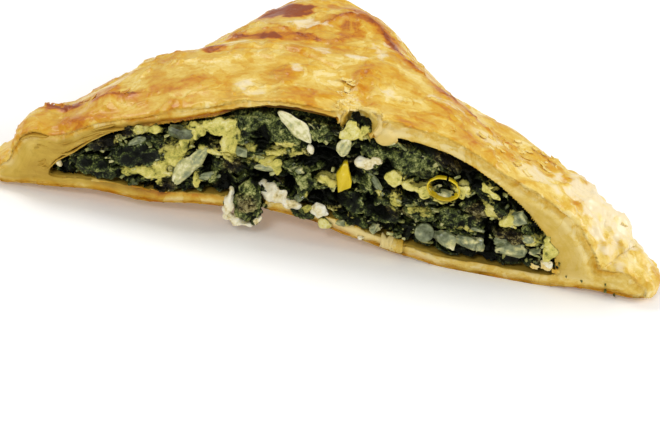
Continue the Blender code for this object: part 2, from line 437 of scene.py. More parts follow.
def line_share(point, line, width):
    """1 on this line seen from above, fading to 0, the distance to it, and a number whose sign
    says which side of it the point is on."""
    nearest, side = 1e9, 0.0
    here = Vector((point.x, point.y))
    for first, last in zip(line, line[1:]):
        first, last = Vector(first), Vector(last)
        along = last - first
        share = max(0.0, min(1.0, (here - first).dot(along) / along.length_squared))
        away = here - first - along * share
        if away.length < nearest:
            nearest = away.length
            side = along.x * away.y - along.y * away.x
    return math.exp(-((nearest / width) ** 2)), nearest, side


THIN_FROM, THIN_TO = -31.0, 0.5  # across, where the top crust is thin at the cut
TUCK = 2.6  # how far the crust's lower half stays back there, over a dark gap


def thin_edge(point):
    """1 where the top crust's edge is thin and the filling has sunk away from it."""
    share = smooth_step((point.x - THIN_FROM) / 7) * smooth_step((THIN_TO - point.x) / 3)
    return share * smooth_step((point.z - 18) / 3)


def shape_of_cut(place, point, inwards):
    """The cut edge of the crust: rolled over at the skin, ragged, with a hollow under its lip.
    Its browning has painted shade in that hollow, over the left end and where the edge is tucked back.
    """
    lip = smooth_step(1 - inwards / 2.6) ** 1.6 * (0.9 + 0.6 * wave(point, 5.0, 15.0))
    groove = smooth_step(1 - abs(inwards - 2.4) / 1.6) * (1 + 0.5 * wave(point, 6.0, 16.0))
    groove *= smooth_step((point.x + 60) / 8) * smooth_step((-22 - point.x) / 8)
    flaky = 0.25 + 0.75 * smooth_step((-28 - point.x) / 16)
    depth = 0.55 * wave(point, 7.0, 13.0) + flaky * 0.45 * wave(point, 2.1, 14.0)
    depth += 0.30 + 1.3 * lip + 0.8 * groove
    # Painted shade: darker in the groove under the lip, and over the left part of the cut.
    shade = 0.10 + 0.10 * lip + 0.55 * groove - 0.25 * spot(point, (5.5, 0.0), (7.0, 3.0))
    shade += smooth_step((-22 - point.x) / 20) * (0.10 + 0.35 * wave(point, 4.0, 25.0))
    tucked = thin_edge(point) * smooth_step((inwards + 0.5 * wave(point, 2.6, 26.0) - 1.3) / 0.9)
    depth += TUCK * tucked
    # Painted shade in the slit where the thin edge stays back over the filling.
    shade += 0.9 * tucked
    return place + Vector((0, depth * MM, -0.5 * lip * MM)), shade


def layers_shown(point, inwards):
    """How much of the cut shows its layers: most at the left end, none where the skin rolls over."""
    layered = smooth_step((-30 - point.x) / 22)
    edge = smooth_step((inwards - 0.6) / 1.2) * layered
    return max(edge, 0.8 * smooth_step((inwards - 1.6) / 2.0))


TORN_HOLE = ((3.4, 33.6), (3.4, 2.6))  # across and up, half sizes: the notch torn in the top edge


def torn_open(place, point):
    """Draws the crust back from the torn notch."""
    aside, above = point.x - TORN_HOLE[0][0], point.z - TORN_HOLE[0][1]
    ragged = 1 + 0.35 * wave(point, 1.4, 24.0)
    reach = math.hypot(aside / TORN_HOLE[1][0], above / TORN_HOLE[1][1]) * ragged
    drawn_back = 0.62 * max(0.0, 1.7 - reach) * smooth_step((4.5 - point.y) / 3.5)
    away = Vector((aside, 0, above)) * (drawn_back / max(reach, 0.15))
    return place + away * MM


def shape_of_crust(place, outwards):
    """Where a point of the smooth crust ends up, how baked it is, with painted shade at the cut edge
    and in the hollow, how cut, how deep under the skin, and how pale, partly with painted sheen."""
    point = place / MM
    point.y = (place.y - CUT_Y) / MM
    side = sides[crust_tree.find_nearest(place)[2]]
    inwards = skin_tree.find_nearest(place)[3] / MM
    thin = thin_edge(point)
    if side == "hollow" and (point.y > 0.8 or thin > 0.1):
        # The roof of the hollow over the thin edge is set back and painted darker, as shade.
        back = (TUCK + 0.3) * thin * max(0.0, 1 - point.y / 6)
        return place + Vector((0, back * MM, 0)), 0.3 + 0.6 * thin, 1.0, inwards, 0.0
    under = smooth_step((-outwards.z - 0.5) / 0.4)
    if point.z > 26:
        place = torn_open(place, point)
    if side == "cut" or (point.y < 0.5 and outwards.y < -0.6):
        moved, bake = shape_of_cut(place, point, inwards)
        return moved, bake, layers_shown(point, inwards), inwards, 0.0
    heights = 0.62 * wave(point, 15.0, 1.0) + 0.42 * wave(point, 8.0, 2.0)
    puff = max(0.0, wave(point, 9.0, 3.0) - 0.05)
    heights += 1.0 * puff + 0.13 * wave(point, 3.4, 6.0) + 0.05 * wave(point, 1.2, 7.0)
    bake = 0.32 + 0.24 * wave(point, 19.0, 8.0) + 0.20 * wave(point, 8.0, 2.5) + 0.22 * puff
    for number, (size, bare, height) in enumerate(LEAVES):
        rise, rim = lifted_leaf(point, size, bare, 20.0 + 7 * number)
        heights += height * (rise + 0.4 * rim)
        bake += 0.05 * rise - 0.02 + 0.10 * rim * smooth_step(wave(point, 6.0, 9.0) + 0.3)
    for line, width, browning, step in RIMS:
        share, away, beside = line_share(point, line, width * (1 + 0.5 * wave(point, 5.0, 17.0)))
        bake += browning * share * (1 + 0.6 * wave(point, 3.0, 18.0))
        lifted = step * math.exp(-away / 5.0) if beside < 0 else 0.0
        heights += (step * share if step < 0 else lifted) + 0.2 * share * (step > 0)
    for centre, radii, strength in BROWN_SPOTS:
        bake += strength * spot(point, centre, radii)
    pale_and_sheen = 0.0
    for centre, radii, strength in PALE_AND_SHEEN_SPOTS:
        pale_and_sheen = max(pale_and_sheen, strength * spot(point, centre, radii, 1.3))
    # Pale patches, partly painted sheen, lighten the skin; it is also paler towards the right end.
    bake -= 0.20 * pale_and_sheen + 0.16 * smooth_step((point.x - 34) / 22)
    torn = line_share(point, TEAR, TEAR_WIDTH)[0]
    heights += torn * (0.9 * wave(point, 1.6, 21.0) + 0.3)
    folded = smooth_step((point.x - 46) / 10) * smooth_step((point.z - 2) / 4)
    upright = Vector((point.x / 1.6, point.y / 1.6, point.z / 5.0))
    heights += folded * (0.75 * wave(upright, 1.5, 19.0) + 0.5 * wave(point, 3.6, 22.0))
    near_cut = smooth_step(1 - point.y / 1.8) ** 2
    heights -= 0.5 * near_cut * (1 + 0.8 * wave(point, 4.0, 15.0))
    fade = 1 - under
    if point.z < 1.2:
        heights *= 0.6
    moved = place + outwards * heights * fade * MM
    moved.z = max(moved.z, 0.0) if under < 0.5 else place.z
    return moved, bake * fade + 0.45 * under, 0.0, 0.0, pale_and_sheen * fade


count = len(crust.vertices)
places = np.zeros((count, 3), np.float32)
# The first of these is the browning, which at the cut edge and in the hollow also holds painted shade;
# the last is paleness, partly painted sheen.
looks = {name: np.zeros(count, np.float32) for name in ("bake", "cut", "deep", "pale_and_sheen")}
for vert in crust.vertices:
    made = shape_of_crust(vert.co.copy(), vert.normal.copy())
    places[vert.index] = made[0]
    for name, value in zip(looks, made[1:]):
        looks[name][vert.index] = value
crust.vertices.foreach_set("co", places.ravel())
for name, values in looks.items():
    crust.attributes.new(name, "FLOAT", "POINT").data.foreach_set("value", values)
crust.update()
triangles = 2 * len(crust.polygons)
crust = baked_mesh(
    "golden_crust", crust, [("DECIMATE", {"ratio": min(1.0, MOST_TRIANGLES / triangles)})]
)


def keep_largest(mesh):
    """Removes the specks that stand loose beside the largest connected part."""
    bm = bmesh.new()
    bm.from_mesh(mesh)
    left = set(bm.verts)
    parts = []
    while left:
        part, front = set(), [left.pop()]
        while front:
            vert = front.pop()
            part.add(vert)
            joined = {edge.other_vert(vert) for edge in vert.link_edges} & left
            left -= joined
            front.extend(joined)
        parts.append(part)
    parts.sort(key=len)
    for part in parts[:-1]:
        bmesh.ops.delete(bm, geom=list(part), context="VERTS")
    bm.to_mesh(mesh)
    bm.free()


keep_largest(crust)
crust.shade_smooth()

crust_finish, tree, shader = new_finish(
    "baked_egg_wash", Specular_IOR_Level=0.30, Coat_Roughness=0.28, Coat_IOR=1.45
)
where = object_place(tree)
bake = attribute(tree, "bake")
cut = attribute(tree, "cut")
deep = attribute(tree, "deep")
pale_and_sheen = attribute(tree, "pale_and_sheen")
mottle = grain(tree, where, 4.5, detail=4.0, roughness=0.6, distortion=0.8)
drawn = grain(
    tree,
    add_node(tree, "ShaderNodeMapping", {"Vector": where, "Scale": (0.28, 0.8, 1.0)}),
    2.2,
    detail=4.0,
    roughness=0.6,
    distortion=0.5,
)
fine = grain(tree, where, 0.9, detail=3.0, roughness=0.7)
split = add_node(tree, "ShaderNodeSeparateXYZ", {"Vector": where})
layered = add_node(
    tree,
    "ShaderNodeCombineXYZ",
    {"X": split * 0.10, "Y": 0.0, "Z": deep * 0.0016 + (mottle - 0.5) * 0.0006},
)
streaks = grain(tree, layered, 0.9, detail=3.0, roughness=0.55)
patches = grain(tree, where, 8.0, detail=5.0, roughness=0.55, distortion=1.1)
pale_leaf = ((patches - 0.54) * 18.0).clamped()
dark_leaf = ((0.43 - patches) * 15.0).clamped()
crisp = (1.0 - ((patches - 0.54) * (patches - 0.54)) * 9000.0).clamped()
# The browning carries the painted shade of the cut edge and the hollow as well.
browning = bake + (mottle - 0.5) * 0.5 + (drawn - 0.5) * 0.55 + (fine - 0.5) * 0.42
browning = (browning + dark_leaf * 0.17 - pale_leaf * 0.15 + crisp * 0.10 + 0.02).clamped()
pale_and_sheen_mix = pale_and_sheen * 1.5 + (drawn - 0.5) * 3.2 + (fine - 0.5) * 2.0 + (patches - 0.5) * 1.6 - 0.75
pale_and_sheen_mix = pale_and_sheen_mix.clamped() * 0.85
skin_colour = colour_ramp(
    tree,
    browning,
    (0.00, (0.90, 0.72, 0.30)),
    (0.16, (0.82, 0.59, 0.13)),
    (0.34, (0.72, 0.440, 0.045)),
    (0.50, (0.66, 0.330, 0.014)),
    (0.66, (0.60, 0.225, 0.003)),
    (0.84, (0.46, 0.125, 0.003)),
    (1.00, (0.29, 0.058, 0.004)),
)
cut_colour = colour_ramp(
    tree,
    (bake + (streaks - 0.5) * 0.4 + (mottle - 0.5) * 0.5 + 0.14).clamped(),
    (0.00, (0.72, 0.51, 0.115)),
    (0.30, (0.60, 0.395, 0.052)),
    (0.60, (0.48, 0.29, 0.032)),
    (1.00, (0.28, 0.16, 0.015)),
)
# Pale cream for the pale patches and the painted sheen.
skin_colour = blend_colours(tree, pale_and_sheen_mix, skin_colour, (0.90, 0.76, 0.50))
colour = blend_colours(tree, cut, skin_colour, cut_colour)
relief = fine * 0.4 + streaks * cut * 0.25 + mottle * 0.3 + drawn * 0.5 + pale_leaf * 0.45 + pale_and_sheen_mix * 0.2
bump = bumps(tree, relief, strength=0.42, distance_mm=0.4)
drive(
    tree,
    shader,
    Base_Color=colour,
    Roughness=(0.40 + cut * 0.2 + (mottle - 0.5) * 0.3 - browning * 0.06).clamped(),
    Coat_Weight=(0.24 - cut * 0.2 + (drawn - 0.5) * 1.0 - browning * 0.18).clamped(),
    Normal=bump,
)
new_piece("golden_crust", crust, crust_finish, "pastry")

# ---------------------------------------------------------------------------
# Loose leaves of the crust: thin sheets that stand out a little from the cut edge and from the
# pressed border, and crumbs and chips that stick to it.

LEAF_THICKNESS = 0.22 * MM
NOTCH = (-1.5, 6.5)  # where the torn notch starts and ends
CUT_LEAF_COUNT = 12
BORDER_LEAF_TRIES = 120
FIRST_TURN, LAST_TURN = math.radians(-20), math.radians(200)  # the border, round the middle
BAKED_CHIPS, NOTCH_CHIPS, PALE_CHIPS = 150, 34, 90
FLAKES = (  # on the cut bottom crust: middle across and up, width, height, browning
    (14.6, 3.7, 3.0, 4.0, 0.06),
    (16.9, 3.3, 2.8, 4.4, 0.24),
    (52.4, 5.6, 2.6, 2.0, 0.00),
    (54.6, 4.9, 1.8, 1.2, 0.25),
    (49.6, 5.2, 2.0, 1.0, 0.05),
)
chance = random.Random(11)


def sheet_mesh():
    """An empty mesh with the layers that the crust finish reads."""
    bm = bmesh.new()
    for name in looks:
        bm.verts.layers.float.new(name)
    return bm


def add_sheet(bm, columns, rows, shape, **values):
    """Adds a grid whose points are where shape(u, v) says, u and v going from 0 to 1."""
    made = bmesh.ops.create_grid(bm, x_segments=columns, y_segments=rows, size=0.5)["verts"]
    for vert in made:
        u, v = vert.co.x + 0.5, vert.co.y + 0.5
        vert.co = shape(u, v)
        for name, value in values.items():
            vert[bm.verts.layers.float[name]] = value(u, v) if callable(value) else value


def finished_sheets(name, bm, thickness):
    """The sheets with a thickness and smooth shading."""
    mesh = bpy.data.meshes.new(name)
    bm.to_mesh(mesh)
    bm.free()
    made = baked_mesh(name, mesh, [("SOLIDIFY", {"thickness": thickness, "offset": 0.0})])
    made.shade_smooth()
    return made


def skin_height(across, back):
    """Height of the skin above the table in millimetres, at this place behind the cut."""
    above = Vector((across * MM, CUT_Y + back * MM, 0.1))
    hit = skin_tree.ray_cast(above, Vector((0, 0, -1)))[0]
    return hit.z / MM if hit else 0.0


def outline_height(across):
    """Height of the skin at the cut, bridging the torn notch."""
    if NOTCH[0] < across < NOTCH[1]:
        share = (across - NOTCH[0]) / (NOTCH[1] - NOTCH[0])
        return skin_height(NOTCH[0], 0.3) * (1 - share) + skin_height(NOTCH[1], 0.3) * share
    return skin_height(across, 0.3)


def band_thickness(across):
    """How thick the crust is over the filling at the cut."""
    hit = filling_tree.ray_cast(at_cut(across, 0.3, 100), Vector((0, 0, -1)))[0]
    top = skin_height(across, 0.3)
    return top - hit.z / MM if hit else 0.8 * top


def cut_place(across, deep, out):
    """A point on the cut this deep under the skin and this far out of the cut."""
    slope = outline_height(across + 0.8) - outline_height(across - 0.8)
    down = Vector((slope / 1.6, -1.0)).normalized()
    return at_cut(across + down.x * deep, -out, outline_height(across) + down.y * deep)


def cut_leaf(bm, start, length, deep, out, seed):
    """A leaf of dough along the cut, this deep under the skin and standing this far out."""

    def shape(u, v):
        across = start + u * length
        layer = deep + 0.5 * wave(Vector((across, 3 * deep, seed)), 6.0)
        layer = max(0.1, min(layer, 0.75 * band_thickness(across)))
        fray = 0.45 + 0.9 * wave(Vector((across, 0.0, seed)), 2.2, 2.0)
        tuck = 1 - (2 * u - 1) ** 6
        ahead = out * fray * tuck * (1 - v) - 1.6 * v - 0.8 * (1 - tuck)
        return cut_place(across, layer, ahead)

    bake = 0.18 + 0.25 * chance.random()
    add_sheet(bm, max(6, int(length / 0.7)), 3, shape, bake=bake, cut=0.8, deep=deep)


bm = sheet_mesh()
for number in range(CUT_LEAF_COUNT):
    start = -76 + 36 * chance.random() ** 1.4
    length = chance.uniform(4, 15)
    flaky = smooth_step((-14 - start) / 26)
    thick = 3.0 + 6.0 * smooth_step((-58 - start) / 8)
    deep = 0.2 + (thick - 0.4) * chance.random() ** 1.3
    out = chance.uniform(0.05, 0.3) * (0.25 + 0.75 * flaky)
    cut_leaf(bm, start, min(length, 62 - start), deep, out, number)
cut_leaves = finished_sheets("cut_leaves", bm, LEAF_THICKNESS)
new_piece("cut_leaves", cut_leaves, crust_finish)


def border_place(turn, height):
    """Where the border is met from outside in this direction, and the way out."""
    out = Vector((math.cos(turn), math.sin(turn), 0))
    hit = skin_tree.ray_cast(out * 0.3 + Vector((0, 0, height * MM)), -out)[0]
    return hit, out


def border_leaf(bm, start, sweep, height, out, seed):
    """A leaf of dough along the pressed border, from one direction round to another."""

    def shape(u, v):
        turn = start + u * sweep
        hit, outwards = border_place(turn, height)
        fray = 0.5 + 0.9 * wave(hit / MM, 2.5, seed)
        tuck = 1 - (2 * u - 1) ** 6
        ahead = out * fray * tuck * (1 - v) - 1.5 * v - 0.7 * (1 - tuck)
        rise = 0.35 * wave(hit / MM, 4.0, seed + 1)
        return hit + outwards * ahead * MM + Vector((0, 0, rise * MM))

    bake = 0.25 + 0.30 * chance.random()
    add_sheet(bm, 22, 2, shape, bake=bake, cut=0.35, deep=height)


bm = sheet_mesh()
for number in range(BORDER_LEAF_TRIES):
    start = chance.uniform(FIRST_TURN, LAST_TURN - 0.25)
    sweep = chance.uniform(0.08, 0.24)
    height = chance.uniform(0.9, 7.0)
    ends = [border_place(start + share * sweep, height)[0] for share in (0, 0.25, 0.5, 0.75, 1)]
    if all(end is not None and end.y > CUT_Y + 1.2 * MM for end in ends):
        border_leaf(bm, start, sweep, height, chance.uniform(0.3, 0.9), number)
border_leaves = finished_sheets("border_leaves", bm, LEAF_THICKNESS)
new_piece("border_leaves", border_leaves, crust_finish)


def add_chip(bm, across, back, size, lift, bake, seed):
    """A curved chip that lies on the skin here."""
    centre = Vector((across, back, skin_height(across, back) + lift))
    turn = 6.3 * wave(centre, 0.7, seed)
    tilt = 0.4 * wave(centre, 0.9, seed + 1)
    slope = (skin_height(across + 1, back) - skin_height(across - 1, back)) / 2
    steepness = abs(skin_height(across, back + 1) - skin_height(across, back - 1)) / 2
    if abs(slope) > 1.0 or steepness > 1.0:
        return

    def shape(u, v):
        along, aside = (u - 0.5) * size, (v - 0.5) * size * 0.62
        edge = 1 + 0.45 * wave(Vector((math.atan2(v - 0.5, u - 0.5), seed, 0.5)), 0.8, 3.0)
        bend = 0.25 * size * ((u - 0.5) ** 2 + 0.5 * (v - 0.5) ** 2) * 4
        point = Matrix.Rotation(turn, 3, "Z") @ Vector((along * edge, aside * edge, bend * 0.4))
        point.z += point.x * (slope + tilt)
        return at_cut(*(centre + point))

    add_sheet(bm, 6, 5, shape, bake=bake, cut=0.0, deep=0.0)


bm = sheet_mesh()
for number in range(BAKED_CHIPS):
    share = chance.random() ** 0.8
    across = -73 + 20 * share + chance.gauss(0, 1.2)
    back = 17 - 7 * share + chance.gauss(0, 0.9)
    bake = chance.uniform(0.45, 0.78)
    add_chip(bm, across, back, chance.uniform(0.7, 1.9), chance.uniform(0.2, 0.8), bake, number)
for number in range(NOTCH_CHIPS):
    across, back = chance.uniform(-2.2, 1.6), 2 + 15 * chance.random() ** 1.5
    lift, bake = chance.uniform(0.15, 0.5), chance.uniform(-0.1, 0.1)
    add_chip(bm, across, back, chance.uniform(1.2, 2.6), lift, bake, number)
for number in range(PALE_CHIPS):
    across, back = chance.uniform(24, 72), chance.uniform(3, 26)
    size, bake = chance.uniform(0.8, 2.4), chance.uniform(0.0, 0.25)
    add_chip(bm, across, back, size, chance.uniform(0.0, 0.2), bake, number)


def bottom_flake(bm, middle, up, width, height, bake, seed):
    """A flake that sticks to the cut bottom crust."""

    def shape(u, v):
        edge = 1 + 0.5 * wave(Vector((math.atan2(v - 0.5, u - 0.5), seed, 2.5)), 0.7, 3.0)
        across, above = (u - 0.5) * width * edge, (v - 0.5) * height * edge
        ripple = 0.35 * wave(Vector((across * 2.2, above * 0.5, seed)), 1.0)
        return at_cut(middle + across, -0.5 - ripple + 0.5 * above * above, up + above - 0.12 * across)

    add_sheet(bm, 14, 10, shape, bake=bake, cut=0.2, deep=0.5)


for number, (middle, up, width, height, bake) in enumerate(FLAKES):
    bottom_flake(bm, middle, up, width, height, bake, 4.0 * number)
pastry_chips = finished_sheets("pastry_chips", bm, LEAF_THICKNESS)
new_piece("pastry_chips", pastry_chips, crust_finish)

# ---------------------------------------------------------------------------
# The filling: cooked spinach, chopped and pressed into a dark wet mass of folded leaves with deep
# gaps between them, bound by egg and cheese. What is finer than the leaves is relief on this core;
# the larger things in it follow piece by piece.

FILLING_VOXEL = 0.42 * MM
CORE_SET_BACK = 1.2  # millimetres behind the knife's plane
CORE_RELIEF_DEPTH = 4.0  # millimetres behind the cut, where the unseen core stays plain
FIELD_STEP = 0.25  # millimetres between the values kept of each zone
FIELD_START, FIELD_END = (-72.0, 0.0), (62.0, 40.0)
NOISE_SEED = 1795415121  # without one, noise_vector takes the clock's and every run differs
ZONES = {  # what the mass is made of at the cut: middle across and up, half sizes, turn
    "custard": (
        (-47.4, 10.2, 2.8, 1.2, 0), (-43.2, 10.7, 4.2, 2.0, -5), (-40.0, 12.8, 2.6, 2.6, 40),
        (-38.0, 16.6, 2.8, 3.8, 10), (-45.2, 21.8, 3.8, 1.2, 14), (-50.2, 18.4, 2.2, 0.8, 25),
        (-34.0, 23.6, 3.6, 2.8, 0), (-28.0, 26.0, 5.2, 2.8, 0), (-25.4, 21.4, 2.2, 3.6, 10),
        (-29.4, 19.3, 3.4, 1.1, -8), (-35.8, 19.6, 1.8, 3.0, 0), (-31.6, 11.6, 1.0, 2.4, 20),
        (-17.4, 19.3, 3.4, 1.3, 6), (-14.6, 21.6, 2.6, 1.2, 30), (-13.4, 24.4, 3.0, 0.9, 10),
        (-9.4, 22.9, 3.0, 0.9, 8), (-20.6, 21.8, 1.6, 1.0, 0), (-1.6, 17.2, 2.8, 1.5, -10),
        (-6.0, 12.8, 1.6, 0.9, 30), (0.2, 6.6, 3.2, 1.3, -20), (5.6, 6.4, 2.6, 0.8, -15),
        (1.4, 30.8, 2.6, 3.0, 0), (4.6, 30.6, 1.4, 2.4, -10), (13.6, 20.8, 2.6, 2.4, -30),
        (18.0, 19.6, 2.8, 1.0, -12), (20.6, 19.1, 2.3, 1.9, 0), (29.2, 21.1, 2.3, 1.7, 10),
        (14.4, 15.4, 1.5, 2.9, 10), (20.6, 14.2, 3.0, 0.7, -5), (10.4, 16.4, 1.6, 1.2, -40),
        (25.6, 17.2, 3.6, 0.6, -4), (41.6, 15.6, 2.6, 2.0, 20), (36.4, 17.6, 3.0, 1.0, -38),
        (36.0, 22.0, 3.4, 1.3, -35), (48.0, 11.4, 2.4, 1.5, 0), (51.6, 12.2, 1.5, 2.2, 0),
        (52.8, 9.2, 1.8, 3.0, -20), (33.0, 11.6, 3.6, 0.6, -10),
    ),
    # Holes in the mass: set back, and painted dark as shade.
    "void": (
        (-66.0, 8.2, 1.2, 0.7, 0), (-52.0, 19.4, 2.0, 0.8, 40), (-47.6, 23.0, 4.6, 0.6, 14),
        (-36.8, 18.8, 1.2, 1.0, 0), (-32.4, 21.6, 1.4, 1.9, 0), (-28.2, 22.2, 2.4, 0.8, -5),
        (-30.4, 16.0, 1.2, 3.2, 8), (-24.6, 11.4, 1.8, 2.6, 20), (-27.6, 10.2, 3.6, 1.0, 0),
        (-17.6, 14.9, 2.4, 1.5, -5), (-18.4, 26.0, 1.8, 2.0, 10), (-17.0, 23.2, 2.4, 0.6, 10),
        (-17.2, 31.8, 5.0, 0.7, 8), (-9.4, 21.4, 3.4, 1.0, 0), (-2.6, 23.2, 4.0, 2.0, 2),
        (-6.6, 26.0, 2.6, 0.6, 4), (-10.2, 14.2, 1.0, 2.4, 30), (-3.6, 12.6, 2.6, 1.2, -40),
        (1.2, 13.2, 2.6, 1.8, -10), (2.6, 9.8, 2.8, 1.2, -15), (3.6, 34.2, 2.2, 1.4, -30),
        (7.6, 28.2, 4.4, 0.8, -4), (10.8, 22.0, 1.5, 3.0, -15), (4.8, 19.9, 2.2, 1.0, -30),
        (8.6, 14.8, 1.2, 1.8, 0), (11.4, 11.8, 2.2, 1.0, 0), (15.6, 17.9, 3.2, 0.9, -4),
        (18.0, 30.6, 3.6, 1.6, -8), (24.8, 29.4, 4.6, 1.5, -28), (31.0, 25.6, 3.6, 1.4, -44),
        (25.0, 22.9, 2.2, 1.0, 0), (28.0, 18.3, 2.4, 0.7, 10), (36.8, 13.8, 1.0, 1.2, 0),
        (39.6, 13.4, 1.0, 0.8, 0), (38.8, 20.0, 2.6, 0.9, -32), (45.6, 17.4, 3.4, 1.0, -42),
        (48.4, 14.0, 1.6, 1.0, -40), (37.2, 8.0, 1.0, 1.2, 0), (39.6, 8.0, 0.8, 1.4, 0),
        (37.0, 5.2, 8.0, 0.9, -3), (47.4, 7.4, 2.0, 0.9, 0), (18.8, 7.0, 0.6, 1.6, 0),
        (-41.6, 7.2, 2.0, 0.8, 0),
    ),
    "brown": (
        (-54.6, 16.2, 4.6, 1.7, 24), (-48.4, 21.0, 4.6, 1.2, 18), (-54.4, 13.4, 1.8, 0.9, 0),
        (-38.6, 8.0, 2.8, 1.6, 25), (-24.4, 17.2, 3.0, 2.4, -40), (-28.0, 22.0, 2.6, 1.2, -5),
        (-24.0, 21.4, 1.6, 1.6, 0), (-19.2, 9.0, 2.6, 2.2, 0), (3.0, 22.6, 2.2, 1.2, -10),
        (14.4, 31.0, 1.8, 1.5, 0), (25.0, 28.0, 5.0, 2.0, -28), (33.4, 16.4, 3.6, 1.6, -8),
        (38.0, 15.6, 3.6, 1.8, -30), (43.2, 11.4, 4.8, 1.6, -5), (16.0, 12.6, 4.6, 1.2, -8),
        (-13.0, 15.4, 3.6, 0.9, -10), (51.0, 7.0, 2.0, 3.4, 10),
    ),
    "pale": (
        (-29.6, 12.8, 3.2, 1.4, 10), (-16.6, 27.4, 8.6, 3.8, -10), (-23.0, 25.8, 2.4, 2.2, 0),
        (-5.8, 28.8, 2.8, 2.0, -10), (-7.0, 15.6, 2.8, 4.0, 0), (14.6, 26.0, 9.6, 3.4, -10),
        (7.8, 18.2, 4.0, 1.6, -42), (6.6, 12.8, 1.2, 2.6, 0), (30.0, 14.0, 6.0, 2.4, -4),
        (33.6, 16.6, 4.0, 1.4, -8), (-46.6, 18.4, 2.0, 1.0, 35), (-19.4, 9.4, 4.0, 5.4, 0),
        (-56.0, 10.0, 5.0, 1.4, -8), (11.2, 7.6, 1.8, 1.2, 0), (0.4, 20.8, 1.4, 0.8, 0),
        (46.6, 14.6, 1.4, 1.4, 0),
    ),
}

noise.seed_set(NOISE_SEED)
grid_across, grid_up = np.meshgrid(
    np.arange(FIELD_START[0], FIELD_END[0], FIELD_STEP),
    np.arange(FIELD_START[1], FIELD_END[1], FIELD_STEP),
    indexing="ij",
)
zone_fields = {}
for kind, spots in ZONES.items():
    field = np.zeros_like(grid_across)
    for middle_across, middle_up, half_across, half_up, turn in spots:
        cos, sin = math.cos(math.radians(turn)), math.sin(math.radians(turn))
        aside, above = grid_across - middle_across, grid_up - middle_up
        along, over = aside * cos + above * sin, above * cos - aside * sin
        reach = np.hypot(along / half_across, over / half_up)
        field = np.maximum(field, np.clip(1.5 - reach, 0.0, 1.0))
    zone_fields[kind] = field


def zones_at(point):
    """How much custard, hole, browned and pale leaf there is here, each from 0 to 1; the holes are
    painted dark as shade.
    """
    bent = point + noise.noise_vector(point / 2.1) + 0.4 * noise.noise_vector(point / 0.8)
    column = int((bent.x - FIELD_START[0]) / FIELD_STEP)
    row = int((bent.z - FIELD_START[1]) / FIELD_STEP)
    column = max(0, min(grid_across.shape[0] - 1, column))
    row = max(0, min(grid_across.shape[1] - 1, row))
    return {kind: float(field[column, row]) for kind, field in zone_fields.items()}


def crumpled(point, size, seed):
    """Sharp-edged folds like those of a cooked leaf, from 0 in the creases to 1 on the ridges."""
    bent = point + 0.35 * size * noise.noise_vector(point / (1.4 * size) + Vector((seed, 0, 0)))
    fold = 1 - abs(wave(bent, size, seed)) * 2.2
    small = 1 - abs(wave(bent, 0.45 * size, seed + 1)) * 2.2
    return max(0.0, min(1.0, 0.65 * fold + 0.35 * small))


def wad_relief(point):
    """Folded wads of leaf pressed flat: how far they stand out, and how near the crevices between
    them this is, each from 0 to 1; the second also serves as painted shade."""
    pressed = Vector((point.x / 4.4, point.y / 3.2, point.z / 2.6))
    pressed += 0.30 * noise.noise_vector(pressed * 0.9 + Vector((0, 3, 1)))
    reach, middles = noise.voronoi(pressed)
    gap_shade = smooth_step(1 - (reach[1] - reach[0]) / 0.22)
    return noise.cell(middles[0] * 7.3), gap_shade


# The second look is painted shade in the crevices and holes.
FILLING_LOOKS = ("light", "gap_shade", "custard", "brown")


def dressed(place, light, gap_shade):
    """A point of the filling sunk into the gaps, and the four values that its finish reads; these
    paint the gaps dark, as shade.
    """
    point = Vector((place.x / MM, (place.y - CUT_Y) / MM, place.z / MM))
    zones = zones_at(point)
    # The holes are set back and painted dark, as shade.
    hollow = zones["void"]
    place = place + Vector((0, (2.6 * hollow - 0.5 * zones["custard"]) * MM, 0))
    light += 0.30 * zones["pale"]
    return place, (light, max(gap_shade, 1.15 * hollow), zones["custard"] * (1 - hollow), zones["brown"])


bmesh.ops.triangulate(cad_filling, faces=cad_filling.faces[:])
cage = bpy.data.meshes.new("filling_cage")
cad_filling.to_mesh(cage)
cad_filling.free()
core = baked_mesh("filling_core", cage, [("REMESH", {"mode": "VOXEL", "voxel_size": FILLING_VOXEL})])


def shape_of_core(place, outwards):
    """Where a point of the smooth filling ends up, and what it is made of, with painted light on
    its folds and painted shade in its crevices.
    """
    point = place / MM
    point.y = (place.y - CUT_Y) / MM
    if point.y > CORE_RELIEF_DEPTH:
        return place, (0.5, 0.0, 0.3, 0.3)
    out, gap_shade = wad_relief(point)
    folds = crumpled(point, 2.4, 1.0)
    tiny = crumpled(point, 0.9, 5.0)
    zones = zones_at(point)
    leafy = 1 - 0.8 * zones["custard"]
    height = (1.7 * (out - 0.5) + 1.0 * (folds - 0.5) - 2.2 * gap_shade + 0.45 * (tiny - 0.5)) * leafy
    height += 0.5 * zones["custard"] * wave(point, 2.4, 3.0)
    if point.y > -0.4:
        height -= CORE_SET_BACK
    # Painted light on the fold ridges, and painted shade near the crevices between the wads.
    made, values = dressed(place, 0.8 * folds + 0.35 * (out - 0.5), gap_shade * leafy)
    return made + outwards * height * MM, values


def with_values(mesh, made):
    """Puts the points where they belong, and keeps the values made for them as attributes."""
    mesh.vertices.foreach_set("co", np.array([row[0] for row in made], np.float32).ravel())
    for index, name in enumerate(FILLING_LOOKS):
        values = np.array([row[1][index] for row in made], np.float32)
        mesh.attributes.new(name, "FLOAT", "POINT").data.foreach_set("value", values)
    mesh.update()
    mesh.shade_smooth()


with_values(core, [shape_of_core(v.co.copy(), v.normal.copy()) for v in core.vertices])
triangles = 2 * len(core.polygons)
if triangles > MOST_TRIANGLES:
    core = baked_mesh("filling_core", core, [("DECIMATE", {"ratio": MOST_TRIANGLES / triangles})])
    core.shade_smooth()

